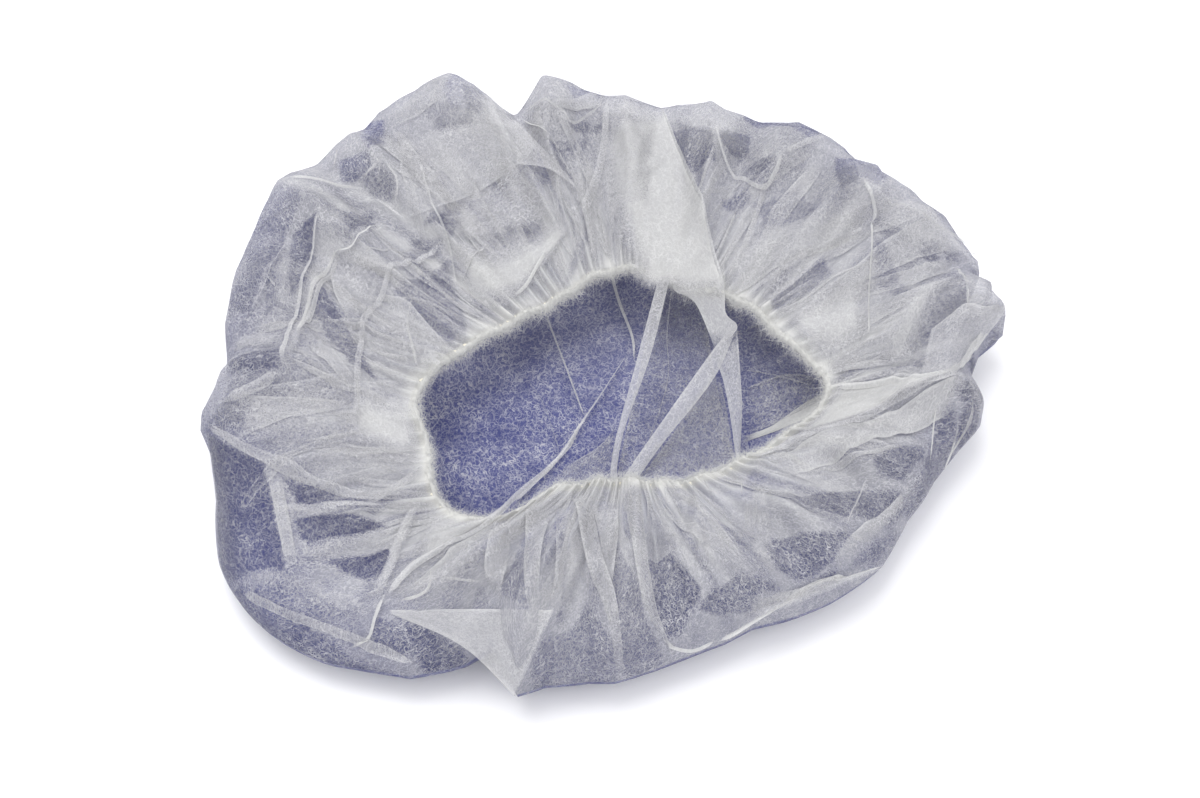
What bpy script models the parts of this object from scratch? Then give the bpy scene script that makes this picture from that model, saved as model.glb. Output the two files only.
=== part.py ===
"""Disposable hair cover cap, lying crown down with its elastic opening up.

One disc of nonwoven cloth makes the whole bag: the crown lies flat on the table, the side turns up
at the outline, and the ruffle comes back in over the top to the opening. There the cloth is rolled
round an elastic ring. Units are metres, +Z is up, +X is to the right and +Y is to the back.
"""

import bpy
import numpy as np
from mathutils import Matrix


def table(columns, *rows):
    """A table as a dictionary: each column's name with its values, one from every row."""
    return dict(zip(columns, np.array(rows, float).T))


# The bag as it lies
CAP_WIDTH = 0.331
CAP_DEPTH = 0.295
SIDE_HEIGHT = 0.019
RUFFLE_HEIGHT = 0.044
FOLD_HEIGHT = 0.015
FOLD_PUSH = 0.006
CLOTH_THICKNESS = 0.001

# The opening and what is rolled into its edge
OPENING_WIDTH = 0.178
OPENING_DEPTH = 0.123
OPENING_RIGHT = 0.006
OPENING_BACK = -0.014
OPENING_HEIGHT = 0.033
ELASTIC_DIAMETER = 0.0025
HEM_CLEARANCE = 0.0004
HEM_TURN_UNDER = 0.006
GATHER_HEIGHT = 0.0014
GATHERS = 21

# The flat middle of the crown, and the folds pressed into the crown
CROWN_MIDDLE_RIGHT = -0.030
CROWN_MIDDLE_BACK = 0.012
CROWN_FOLD_HEIGHT = 0.005
CROWN_FOLD_HALF_WIDTH = 0.014

# Facets: columns round the bag, a whole number to each gather, and sides of the elastic
COLUMNS_PER_GATHER = 4
ELASTIC_SIDES = 8

# Outline seen from above: the angle, and the reach as a share of the ellipse of width and depth
OUTLINE = table(
    ("angle", "reach"),
    (0, 0.965), (15, 1.030), (30, 1.045), (45, 1.030), (60, 1.015), (75, 0.965),
    (87, 0.975), (97, 1.020), (108, 0.980), (120, 1.125), (132, 1.085), (150, 1.095),
    (165, 1.025), (180, 1.005), (195, 1.025), (215, 1.145), (228, 1.145), (240, 1.060),
    (255, 1.015), (270, 0.965), (288, 0.905), (305, 0.905), (325, 0.915), (345, 0.930),
)

# Opening: the reach as a share of its own ellipse, and the height as a share of OPENING_HEIGHT
RIM = table(
    ("angle", "reach", "height"),
    (0, 0.980, 1.06), (20, 0.885, 1.08), (45, 0.955, 1.02), (60, 0.885, 1.10),
    (88, 1.000, 1.10), (105, 0.940, 1.05), (122, 0.820, 1.02), (150, 0.790, 1.02),
    (168, 0.870, 1.05), (182, 0.990, 1.02), (197, 1.010, 0.94), (214, 1.190, 0.84),
    (226, 1.160, 0.80), (240, 0.800, 0.90), (270, 0.710, 0.96), (300, 0.760, 0.92),
    (330, 0.780, 0.92), (345, 0.870, 1.00),
)

# Crown and side: the way from the crown's middle to the outline, and the share of SIDE_HEIGHT
CROWN_SECTIONS = table(
    ("along", "height"),
    (0.10, 0.00), (0.19, 0.00), (0.28, 0.00), (0.37, 0.00), (0.46, 0.00), (0.55, 0.00),
    (0.65, 0.00), (0.75, 0.00), (0.85, 0.00), (0.93, 0.14), (0.98, 0.48), (1.00, 1.00),
)

# Ruffle: the way from the outline to the opening, the share of the rise from SIDE_HEIGHT to
# RUFFLE_HEIGHT, the share already dropped to the opening, and the share of each fold's height
RUFFLE_SECTIONS = table(
    ("along", "rise", "drop", "fold"),
    (0.03, 0.45, 0.00, 0.35), (0.10, 0.78, 0.00, 0.70), (0.20, 0.96, 0.00, 0.95),
    (0.32, 1.00, 0.02, 1.00), (0.46, 1.00, 0.12, 0.92), (0.60, 1.00, 0.32, 0.75),
    (0.74, 1.00, 0.58, 0.52), (0.87, 1.00, 0.86, 0.28),
)

# Folds that run from the outline in to the opening: the angle, half the width in degrees at the
# outline, the height as a share of FOLD_HEIGHT, how far it leans round on its way in, and how far
# it pushes the outline out as a share of FOLD_PUSH
FOLDS = table(
    ("angle", "half_width", "height", "lean", "push"),
    (12, 8, 1.00, -6, 2.6), (27, 7, 0.55, -4, 0.6), (39, 8, 1.00, 0, 0.7),
    (55, 7, 0.55, 6, 0.6), (72, 9, 1.15, -12, 0.6), (87, 7, 0.50, 0, 0.5),
    (101, 7, 0.90, 8, 1.0), (117, 9, 1.20, -8, 1.0), (134, 7, 0.70, 6, 0.6),
    (147, 7, 0.85, 12, 1.0), (163, 7, 0.60, 8, 0.5), (184, 8, 0.90, -4, 1.3),
    (202, 7, 0.60, 0, 0.3), (221, 8, 0.90, -10, 0.4), (237, 7, 0.60, 6, 0.3),
    (253, 9, 1.20, 4, 2.2), (270, 8, 1.00, 8, 1.8), (285, 7, 0.50, 0, 0.3),
    (300, 8, 0.70, -6, 0.5), (318, 8, 0.75, -10, 0.6), (335, 8, 0.75, 4, 1.2),
    (350, 7, 0.85, 8, 1.8),
)
FOLD_NARROWING = 0.35

# Folds across the crown, from one point to another, as shares of half the width and depth
CROWN_FOLDS = table(
    ("from_right", "from_back", "to_right", "to_back", "height"),
    (0.12, 0.40, 0.01, -0.30, 1.00),
    (0.33, 0.36, 0.33, -0.24, 1.00),
    (0.27, 0.10, 0.06, -0.30, 0.60),
    (0.05, 0.02, -0.36, -0.46, 0.70),
)

# The hem's roll round the elastic, from the top, past the opening's side, to beneath it
HEM_TURNS = (112, 66, 22, -22, -66, -110)

CLOTH_COLOUR = (0.72, 0.73, 0.80, 1.0)
ELASTIC_COLOUR = (0.86, 0.84, 0.78, 1.0)

HEM_RADIUS = ELASTIC_DIAMETER / 2 + HEM_CLEARANCE + CLOTH_THICKNESS


def read_round(known, values, angles):
    """Values known at some angles, read smoothly all the way round. Angles are in degrees."""
    count = len(known)
    after = np.searchsorted(known, angles % 360, side="right")
    picked = [(after + step) % count for step in (-2, -1, 0, 1)]
    start, end = known[picked[1]], known[picked[2]]
    span = (end - start) % 360
    along = ((angles - start) % 360) / span
    before, here, there, beyond = (values[i] for i in picked)
    return here + 0.5 * along * (
        there - before
        + along * (2 * before - 5 * here + 4 * there - beyond
                   + along * (3 * (here - there) + beyond - before))
    )


def ellipse_reach(width, depth, angles):
    """Distance from the middle of an ellipse to its edge, at angles in degrees."""
    turn = np.radians(angles)
    return 1 / np.hypot(np.cos(turn) / (width / 2), np.sin(turn) / (depth / 2))


def outline_points(angles):
    """The widest line of the bag, seen from above."""
    reach = ellipse_reach(CAP_WIDTH, CAP_DEPTH, angles)
    reach *= read_round(OUTLINE["angle"], OUTLINE["reach"], angles)
    turn = np.radians(angles)
    height = np.full(len(angles), SIDE_HEIGHT)
    return np.stack([reach * np.cos(turn), reach * np.sin(turn), height], axis=1)


def elastic_points(angles):
    """The elastic's centreline, which waves up and down with the gathers."""
    reach = ellipse_reach(OPENING_WIDTH, OPENING_DEPTH, angles)
    reach *= read_round(RIM["angle"], RIM["reach"], angles)
    turn = np.radians(angles)
    height = OPENING_HEIGHT * read_round(RIM["angle"], RIM["height"], angles)
    height += GATHER_HEIGHT * np.cos(GATHERS * turn)
    right = OPENING_RIGHT + reach * np.cos(turn)
    back = OPENING_BACK + reach * np.sin(turn)
    return np.stack([right, back, height], axis=1)


def towards_opening(line):
    """Level unit vectors square to a closed line that runs anticlockwise, pointing inside it."""
    along = np.roll(line, -1, axis=0) - np.roll(line, 1, axis=0)
    inward = np.stack([-along[:, 1], along[:, 0], np.zeros(len(line))], axis=1)
    return inward / np.linalg.norm(inward, axis=1, keepdims=True)


def fold_ridges(angles, along):
    """The ruffle's folds, each a ridge with straight sides: shares of FOLD_HEIGHT and FOLD_PUSH."""
    lift = np.zeros(len(angles))
    push = np.zeros(len(angles))
    for angle, half_width, height, lean, out in zip(*FOLDS.values()):
        centre = angle + lean * along
        away = np.abs((angles - centre + 180) % 360 - 180)
        ridge = np.clip(1 - away / (half_width * (1 - FOLD_NARROWING * along)), 0, 1)
        lift = np.maximum(lift, height * ridge)
        push = np.maximum(push, out * ridge)
    return lift, push


def crown_fold_lift(points):
    """Height of the folds across the crown, in metres."""
    lift = np.zeros(len(points))
    half = np.array([CAP_WIDTH, CAP_DEPTH]) / 2
    for from_right, from_back, to_right, to_back, height in zip(*CROWN_FOLDS.values()):
        start = np.array([from_right, from_back]) * half
        way = np.array([to_right, to_back]) * half - start
        offset = points[:, :2] - start
        share = np.clip(offset @ way / (way @ way), 0, 1)
        away = np.linalg.norm(offset - share[:, None] * way, axis=1)
        ridge = np.clip(1 - away / CROWN_FOLD_HALF_WIDTH, 0, 1)
        lift = np.maximum(lift, CROWN_FOLD_HEIGHT * height * ridge)
    return lift


def cloth_rings(angles):
    """The rings of the cloth's outer face, from the crown's middle round to the end of the hem."""
    outline = outline_points(angles)
    elastic = elastic_points(angles)
    inward = towards_opening(elastic)
    upward = np.array([0, 0, 1.0])
    middle = np.array([CROWN_MIDDLE_RIGHT, CROWN_MIDDLE_BACK, 0])
    level = np.array([1.0, 1.0, 0])
    rings = []
    for along, height in zip(*CROWN_SECTIONS.values()):
        ring = middle + along * (outline * level - middle)
        ring[:, 2] = SIDE_HEIGHT * height + crown_fold_lift(ring)
        rings.append(ring)
    outward = outline * level / np.linalg.norm(outline * level, axis=1, keepdims=True)
    hem_top = elastic + HEM_RADIUS * upward
    for along, rise, drop, fold in zip(*RUFFLE_SECTIONS.values()):
        ring = outline + along * (hem_top - outline)
        lift, push = fold_ridges(angles, along)
        crest = SIDE_HEIGHT + (RUFFLE_HEIGHT - SIDE_HEIGHT) * rise
        ring[:, 2] = (1 - drop) * crest + drop * hem_top[:, 2] + FOLD_HEIGHT * fold * lift
        ring += outward * (FOLD_PUSH * fold * (1 - along) ** 2 * push)[:, None]
        rings.append(ring)
    for turn in np.radians(HEM_TURNS):
        rings.append(elastic + HEM_RADIUS * (np.cos(turn) * inward + np.sin(turn) * upward))
    rings.append(rings[-1] - HEM_TURN_UNDER * inward)
    return rings


def ring_mesh(name, rings, pole=None, closed=False):
    """A mesh skinned over rings, from a pole if there is one, or closed from the last to the first."""
    count = len(rings[0])
    points = [tuple(point) for ring in rings for point in ring]
    faces = []
    for row in range(len(rings) if closed else len(rings) - 1):
        here, there = row * count, (row + 1) % len(rings) * count
        for column in range(count):
            beside = (column + 1) % count
            faces.append((here + column, there + column, there + beside, here + beside))
    if pole is not None:
        points.append(tuple(pole))
        faces += [(len(points) - 1, column, (column + 1) % count) for column in range(count)]
    mesh = bpy.data.meshes.new(name)
    mesh.from_pydata(points, [], faces)
    mesh.update()
    return mesh


def material(name, colour, roughness):
    """A plain surface of one colour."""
    made = bpy.data.materials.new(name)
    made.use_nodes = True
    shader = made.node_tree.nodes["Principled BSDF"]
    shader.inputs["Base Color"].default_value = colour
    shader.inputs["Roughness"].default_value = roughness
    shader.inputs["Metallic"].default_value = 0.0
    return made


def add_object(name, mesh, finish):
    """Puts a mesh in the scene as a named piece with its material."""
    mesh.materials.append(finish)
    mesh.shade_smooth()
    piece = bpy.data.objects.new(name, mesh)
    bpy.context.scene.collection.objects.link(piece)
    return piece


def build_cloth(angles):
    """The bag and its hem: one cloth, given its wall on the inner side."""
    middle = (CROWN_MIDDLE_RIGHT, CROWN_MIDDLE_BACK, 0)
    mesh = ring_mesh("cap_cloth", cloth_rings(angles), pole=middle)
    mesh.flip_normals()
    cloth = add_object("cap_cloth", mesh, material("nonwoven_cloth", CLOTH_COLOUR, 0.9))
    wall = cloth.modifiers.new("wall", "SOLIDIFY")
    wall.thickness = CLOTH_THICKNESS
    wall.offset = -1
    return cloth


def build_elastic(angles):
    """The ring that gathers the opening, lying in the hem's roll."""
    centre = elastic_points(angles)
    inward = towards_opening(centre)
    radius = ELASTIC_DIAMETER / 2
    upward = np.array([0, 0, 1.0])
    turns = 2 * np.pi * np.arange(ELASTIC_SIDES) / ELASTIC_SIDES
    rings = [centre + radius * (np.cos(t) * inward + np.sin(t) * upward) for t in turns]
    mesh = ring_mesh("elastic_ring", rings, closed=True)
    return add_object("elastic_ring", mesh, material("elastic", ELASTIC_COLOUR, 0.6))


def centre_on_base(pieces):
    """Moves the pieces so that the origin is the middle of the base of the first one's box."""
    points = np.array([vertex.co for vertex in pieces[0].data.vertices])
    low, high = points.min(axis=0), points.max(axis=0)
    shift = (-(low[0] + high[0]) / 2, -(low[1] + high[1]) / 2, -low[2])
    for piece in pieces:
        piece.data.transform(Matrix.Translation(shift))


def main():
    for old in list(bpy.data.objects):
        bpy.data.objects.remove(old)
    columns = GATHERS * COLUMNS_PER_GATHER
    angles = np.arange(columns) * 360 / columns
    centre_on_base([build_cloth(angles), build_elastic(angles)])


main()
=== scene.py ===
import math
import bpy
import numpy as np
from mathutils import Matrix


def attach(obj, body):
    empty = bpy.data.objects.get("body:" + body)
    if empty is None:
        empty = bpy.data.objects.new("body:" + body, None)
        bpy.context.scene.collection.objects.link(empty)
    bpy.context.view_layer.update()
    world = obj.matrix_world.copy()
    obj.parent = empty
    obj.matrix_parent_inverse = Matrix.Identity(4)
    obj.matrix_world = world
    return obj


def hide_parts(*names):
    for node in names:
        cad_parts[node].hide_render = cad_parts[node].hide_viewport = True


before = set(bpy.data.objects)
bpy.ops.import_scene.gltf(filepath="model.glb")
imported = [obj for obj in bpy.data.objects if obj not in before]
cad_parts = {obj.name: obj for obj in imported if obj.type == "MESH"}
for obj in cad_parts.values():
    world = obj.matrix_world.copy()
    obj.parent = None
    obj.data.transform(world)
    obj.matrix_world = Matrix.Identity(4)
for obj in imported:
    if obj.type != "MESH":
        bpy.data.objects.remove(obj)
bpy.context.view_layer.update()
print("frame loaded")


def table(columns, *rows):
    # each column's name with its values, one from every row
    return dict(zip(columns, np.array(rows, float).T))


# The bag as it lies, in metres: the same sizes and shares as its plain solid
bag = {
    "capWidth": 0.331, "capDepth": 0.295, "sideHeight": 0.019, "ruffleHeight": 0.044,
    "foldHeight": 0.015, "foldPush": 0.006, "foldNarrowing": 0.35,
    "openingWidth": 0.178, "openingDepth": 0.123, "openingRight": 0.006, "openingBack": -0.014,
    "openingHeight": 0.033, "elasticDiameter": 0.0025, "hemClearance": 0.0004,
    "hemTurnUnder": 0.006, "gatherHeight": 0.0014, "gathers": 21, "solidColumns": 84,
    "middleRight": -0.030, "middleBack": 0.012, "clothThickness": 0.001,
    "columns": 700, "crownRings": 26, "ruffleRings": 94,
}
bag["hemRadius"] = bag["elasticDiameter"] / 2 + bag["hemClearance"] + bag["clothThickness"]

outline = table(
    ("angle", "reach"),
    (0, 0.965), (15, 1.030), (30, 1.045), (45, 1.030), (60, 1.015), (75, 0.965),
    (87, 0.975), (97, 1.020), (108, 0.980), (120, 1.125), (132, 1.085), (150, 1.095),
    (165, 1.025), (180, 1.005), (195, 1.025), (215, 1.145), (228, 1.145), (240, 1.060),
    (255, 1.015), (270, 0.965), (288, 0.905), (305, 0.905), (325, 0.915), (345, 0.930),
)
# Corners and hollows of the real outline, in mm out from the plain one
corners = table(
    ("angle", "push"),
    (0, -4.5), (5, -2), (8, 8), (10.5, -1), (15, -5), (19, 4), (24, 1.5), (34, 1), (38, -5.5), (44, -2),
    (48, 3.5), (51, 4), (57, 1), (65, 1), (68, -1), (72, 0), (77, 4), (85, 3), (91, 3), (96, 8),
    (101, 10), (104, 5), (107, 0), (110, 2), (113, 7), (116, 8.5), (121, 5), (127, 8), (131, 4),
    (136, 4), (140, 2), (145, 4), (150, 1.5), (160, 2), (165, 3), (170, 2.5), (175, -1), (180, -3.5),
    (183, -2), (185, 1), (188, 8), (192, 4.5), (200, 2), (209, 3), (216, 1), (225, -1), (233, -2),
    (240, -0.3), (244, -6), (246.5, -10), (249.5, -19), (253.5, -10), (256, 1), (260, -3), (267, -3),
    (271, -1), (275, -1.5), (283, -2), (291, -2.5), (297, -5), (303, -3), (311, -1), (321, -0.5),
    (331, -6.5), (340, -6), (347, -2), (352, 3), (356, 1),
)
rim = table(
    ("angle", "reach", "height"),
    (0, 0.980, 1.06), (20, 0.885, 1.08), (45, 0.955, 1.02), (60, 0.885, 1.10),
    (88, 1.000, 1.10), (105, 0.940, 1.05), (122, 0.820, 1.02), (150, 0.790, 1.02),
    (168, 0.870, 1.05), (182, 0.990, 1.02), (197, 1.010, 0.94), (214, 1.190, 0.84),
    (226, 1.160, 0.80), (240, 0.800, 0.90), (270, 0.710, 0.96), (300, 0.760, 0.92),
    (330, 0.780, 0.92), (345, 0.870, 1.00),
)
crownSections = table(
    ("along", "height"),
    (0.00, 0.00), (0.75, 0.00), (0.85, 0.01), (0.90, 0.06), (0.94, 0.17), (0.97, 0.37),
    (0.99, 0.65), (1.00, 1.00),
)
ruffleSections = table(
    ("along", "rise", "drop", "fold"),
    (0.00, 0.00, 0.00, 0.00), (0.03, 0.45, 0.00, 0.35), (0.10, 0.78, 0.00, 0.70),
    (0.20, 0.96, 0.00, 0.95), (0.32, 1.00, 0.02, 1.00), (0.46, 1.00, 0.12, 0.92),
    (0.60, 1.00, 0.32, 0.75), (0.74, 1.00, 0.58, 0.52), (0.87, 1.00, 0.86, 0.28),
    (1.00, 1.00, 1.00, 0.00),
)
bigFolds = table(
    ("angle", "halfWidth", "height", "lean", "push"),
    (12, 8, 1.00, -6, 2.6), (27, 7, 0.55, -4, 0.6), (39, 8, 1.00, 0, 0.7),
    (55, 7, 0.55, 6, 0.6), (72, 9, 1.15, -12, 0.6), (87, 7, 0.50, 0, 0.5),
    (101, 7, 0.90, 8, 1.0), (117, 9, 1.20, -8, 1.0), (134, 7, 0.70, 6, 0.6),
    (147, 7, 0.85, 12, 1.0), (163, 7, 0.60, 8, 0.5), (184, 8, 0.90, -4, 1.3),
    (202, 7, 0.60, 0, 0.3), (221, 8, 0.90, -10, 0.4), (237, 7, 0.60, 6, 0.3),
    (253, 9, 1.20, 4, 2.2), (270, 8, 1.00, 8, 1.8), (285, 7, 0.50, 0, 0.3),
    (300, 8, 0.70, -6, 0.5), (318, 8, 0.75, -10, 0.6), (335, 8, 0.75, 4, 1.2),
    (350, 7, 0.85, 8, 1.8),
)

# The camera stands where the photograph's did: it looks along +Y, down at this angle
view = {
    "elevation": 58.0, "distance": 1.0, "lens": 70.0, "sensor": 36.0,
    "target": (-0.0028, -0.0082, 0.016), "frameWidth": 1200, "frameHeight": 798,
}


def readRound(known, values, angles):
    # smooth cubic through values known at some angles, closed all the way round
    after = np.searchsorted(known, angles % 360, side="right")
    before, here, there, beyond = (values[(after + step) % len(known)] for step in (-2, -1, 0, 1))
    start, end = known[(after - 1) % len(known)], known[after % len(known)]
    share = ((angles - start) % 360) / ((end - start) % 360)
    return here + 0.5 * share * (
        there - before + share * (
            2 * before - 5 * here + 4 * there - beyond
            + share * (3 * (here - there) + beyond - before)))


def ellipseReach(width, depth, turn):
    # distance from an ellipse's middle to its edge
    return 1 / np.hypot(np.cos(turn) / (width / 2), np.sin(turn) / (depth / 2))


def outlineAt(angles, cornerShare=1.0):
    # the bag's widest line: an ellipse's reach times the outline's share, and its corners
    turn = np.radians(angles)
    reach = ellipseReach(bag["capWidth"], bag["capDepth"], turn)
    reach = reach * readRound(outline["angle"], outline["reach"], angles)
    push = np.interp(angles % 360, corners["angle"], corners["push"], period=360)
    reach = reach + cornerShare / 1000 * push
    return reach * np.cos(turn), reach * np.sin(turn)


def elasticAt(angles):
    # the elastic's centreline: an ellipse's reach times the rim's share, waving with the gathers
    turn = np.radians(angles)
    reach = ellipseReach(bag["openingWidth"], bag["openingDepth"], turn)
    reach = reach * readRound(rim["angle"], rim["reach"], angles)
    height = bag["openingHeight"] * readRound(rim["angle"], rim["height"], angles)
    height = height + bag["gatherHeight"] * np.cos(bag["gathers"] * turn)
    return bag["openingRight"] + reach * np.cos(turn), bag["openingBack"] + reach * np.sin(turn), height


def smoothRead(where, sections, column):
    # a table's column read between its rows, rounded over by averaging near readings
    offsets = np.linspace(-0.03, 0.03, 7)
    return sum(np.interp(np.clip(where + offset, 0, 1), sections["along"], sections[column])
               for offset in offsets) / len(offsets)


def foldRidges(angles, along):
    # the big folds: the highest of straight-sided ridges, each a tent in angle round its own line
    lift = np.zeros(np.broadcast(angles, along).shape)
    push = np.zeros(lift.shape)
    for angle, halfWidth, height, lean, out in zip(*bigFolds.values()):
        away = np.abs((angles - angle - lean * along + 180) % 360 - 180)
        ridge = np.clip(1 - away / (halfWidth * (1 - bag["foldNarrowing"] * along)), 0, 1)
        lift = np.maximum(lift, height * ridge)
        push = np.maximum(push, out * ridge)
    return lift, push


def ruffleAt(angles, along, cornerShare=1.0):
    # way from the outline in to the hem's top: straight in plan, and in height a rise to the ruffle's
    # crest, then a drop to the hem, with the big folds standing on it
    outX, outY = outlineAt(angles, cornerShare)
    hemX, hemY, hemZ = elasticAt(angles)
    hemZ = hemZ + bag["hemRadius"]
    lift, push = foldRidges(angles, along)
    rise, drop, fold = (smoothRead(along, ruffleSections, c) for c in ("rise", "drop", "fold"))
    rise = np.where(along < 0.04, np.interp(along, ruffleSections["along"], ruffleSections["rise"]), rise)
    crest = bag["sideHeight"] + (bag["ruffleHeight"] - bag["sideHeight"]) * rise
    outward = bag["foldPush"] * fold * (1 - along) ** 2 * push / np.hypot(outX, outY)
    x = outX + along * (hemX - outX) + outX * outward
    y = outY + along * (hemY - outY) + outY * outward
    return x, y, (1 - drop) * crest + drop * hemZ + bag["foldHeight"] * fold * lift


def solidShift():
    # the plain solid was moved so that its box stands centred on the origin; this is that move
    angles = np.arange(bag["solidColumns"])[:, None] * 360 / bag["solidColumns"]
    steps = ruffleSections["along"][None, :-1]
    x, y, z = ruffleAt(angles, steps, 0.0)
    low, high = (np.array([f(x), f(y)]) for f in (np.min, np.max))
    return -(low + high) / 2


shift = solidShift()


def sheetPlace(x, y):
    # the angle and the way in at which the ruffle lies over a plan position, found by correcting the
    # angle by the sideways miss several times
    x, y = x - shift[0], y - shift[1]
    angles = np.degrees(np.arctan2(y, x))
    for turn in range(10):
        outX, outY = outlineAt(angles)
        hemX, hemY, hemZ = elasticAt(angles)
        wayX, wayY = hemX - outX, hemY - outY
        along = ((x - outX) * wayX + (y - outY) * wayY) / (wayX ** 2 + wayY ** 2)
        missX, missY = x - outX - along * wayX, y - outY - along * wayY
        radius = np.hypot(x, y)
        angles = angles + np.degrees((missY * x - missX * y) / radius ** 2) * 0.8
    return angles, along


folds = {
    "creaseWidth": 0.6,        # share of a fold's width that lies double and shows as a crease
    "creaseFoot": 0.0025,      # metres that a fold's foot reaches beyond its crease on each side
    "fadeLength": 0.009,       # metres over which a panel's ends merge into the cloth
    "flapFade": 0.0012,        # the same for a flap whose corners stand free
    "flapReach": 0.009,        # metres round a flap whose cloth it lies over
    # steps along a strip and points across it, and a panel's steps both ways
    "stripStep": 0.0012, "stripColumns": 9, "panelStep": 0.0016,
    # how far each kind lies over the cloth below it, and how far a strip tilts, in metres
    "strips": (0.0022, 0.0010), "crownStrips": (0.0022, 0.0006),
    "panels": 0.0017, "flaps": 0.0012, "pleats": 0.0006, "crownPanels": 0.0006, "tail": 0.0008,
}
# Folds read off the photograph, each by name: its line in the photograph's pixels, its width in mm at
# the two ends, how high it stands in mm, and how many layers of cloth lie on each other in it
photoFolds = {
    "ropeBeside": ([(339, 258), (318, 301), (304, 336)], 2.0, 3.5, 2.0, 3),
    "ropeOne": ([(319, 214), (314, 254), (302, 294), (291, 340), (283, 372)], 1.2, 4.0, 2.0, 3),
    "ropeTwo": ([(337, 250), (324, 279), (310, 308), (298, 342)], 1.2, 3.4, 1.4, 4.5),
    "ropeThree": ([(386, 227), (355, 247), (335, 261), (322, 285), (306, 319),
                   (297, 342)], 1.0, 3.0, 1.2, 4.5),
    "leftUpThin": ([(259, 227), (280, 214), (299, 203)], 0.8, 1.6, 0.6, 3),
    "leftOuterLine": ([(288, 243), (268, 282), (243, 323), (232, 342)], 1.0, 1.0, 0.8, 3),
    "ropeOut": ([(283, 377), (255, 392), (222, 410)], 6.0, 5.0, 2.0, 2),
    "leftTopCrease": ([(288, 184), (330, 188), (361, 191)], 1.5, 0.8, 1.0, 4.5),
    "leftTopCurl": ([(302, 194), (361, 207), (377, 205), (406, 226)], 1.2, 1.8, 1.0, 2.5),
    "leftTopSpur": ([(334, 175), (339, 151)], 1.2, 0.8, 1.0, 3),
    "starOne": ([(382, 162), (361, 191)], 1.4, 0.6, 0.8, 3),
    "starTwo": ([(382, 162), (379, 192)], 1.4, 0.6, 0.8, 3),
    "starThree": ([(386, 166), (398, 189), (396, 212)], 2.4, 0.8, 0.8, 3),
    "longCrease": ([(420, 167), (433, 210), (449, 247), (457, 293)], 1.6, 0.8, 0.8, 3),
    "doubleLine": ([(442, 247), (398, 269), (385, 293), (363, 341), (358, 425)], 3.5, 4.0, 1.4, 2),
    "crackOne": ([(413, 296), (408, 328), (418, 373)], 1.0, 2.0, 0.8, 4.5),
    "crackTwo": ([(548, 255), (514, 303)], 2.4, 1.6, 1.0, 4.5),
    "crackThree": ([(488, 247), (462, 287)], 2.0, 1.0, 0.8, 3),
    "tipLine": ([(521, 124), (575, 187)], 1.2, 1.2, 0.6, 4.5),
    "topCurl": ([(521, 118), (562, 116), (572, 128), (604, 106)], 1.0, 1.0, 0.8, 3),
    "backBand": ([(607, 106), (602, 162), (582, 226)], 4.0, 6.0, 1.5, 2),
    "bigFoldEdge": ([(661, 113), (677, 153), (699, 206), (713, 256), (724, 296)], 1.5, 2.0, 1.5, 3),
    "loopLine": ([(782, 158), (774, 178), (762, 192), (737, 183), (720, 153),
                  (715, 130)], 2.6, 1.0, 1.0, 3),
    "loopOut": ([(782, 158), (824, 141)], 2.0, 4.0, 1.0, 2),
    "verticalCrease": ([(870, 228), (868, 341)], 1.4, 0.8, 1.2, 4.5),
    "verticalTop": ([(861, 180), (874, 214), (870, 232)], 3.0, 2.0, 1.5, 3),
    "creaseLeft": ([(866, 232), (800, 262), (745, 300)], 2.0, 3.0, 1.0, 1.5),
    "rightLineOne": ([(880, 195), (930, 225), (978, 258)], 1.0, 1.0, 0.8, 3),
    "rightLineTwo": ([(920, 265), (945, 268), (978, 259)], 1.0, 1.0, 0.8, 3),
    "rightCurl": ([(953, 270), (964, 285), (967, 307), (972, 325)], 2.4, 1.5, 1.2, 3),
    "flapEdge": ([(1004, 312), (973, 352), (950, 378), (917, 386), (832, 393)], 3.0, 3.5, 2.5, 4.5),
    "flapTop": ([(965, 304), (1004, 311)], 1.0, 1.0, 1.0, 3),
    "rightRidge": ([(968, 388), (889, 411), (833, 433), (782, 453), (758, 466)], 5.0, 5.0, 3.0, 2),
    "tailOne": ([(936, 402), (928, 474)], 1.2, 0.6, 1.0, 4.5),
    "tailTwo": ([(953, 408), (956, 436), (942, 478)], 1.4, 0.8, 1.0, 4.5),
    "tailThree": ([(968, 395), (970, 422), (945, 466)], 2.4, 1.0, 1.0, 4.5),
    "slopeCrease": ([(866, 481), (844, 533)], 1.0, 0.6, 0.8, 3),
    "frontRidge": ([(884, 571), (819, 588), (776, 613), (717, 647)], 1.5, 3.5, 2.5, 4.5),
    "frontShort": ([(740, 484), (741, 504)], 1.0, 0.8, 0.6, 4.5),
    "frontKnee": ([(661, 641), (692, 655), (717, 644)], 1.5, 1.5, 1.0, 4.5),
    "longDiagonal": ([(588, 420), (554, 468), (516, 501), (468, 541), (414, 573),
                      (388, 602)], 1.6, 4.6, 2.0, 3),
    "diagonalTail": ([(385, 600), (376, 622), (369, 643), (350, 653)], 3.5, 1.2, 1.2, 4.5),
    "leftCrossThin": ([(390, 514), (275, 513)], 3.0, 3.5, 0.8, 1.5),
    "lowLine": ([(243, 597), (280, 616), (331, 634), (380, 655), (416, 668)], 2.5, 4.0, 2.0, 2),
    "lowThin": ([(433, 573), (428, 594), (398, 610)], 1.4, 1.0, 0.8, 4.5),
    "lowThinCross": ([(436, 585), (484, 586)], 0.8, 0.8, 0.6, 3),
    "leftUprightThin": ([(358, 378), (361, 444)], 1.0, 0.8, 0.8, 4.5),
}
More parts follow.
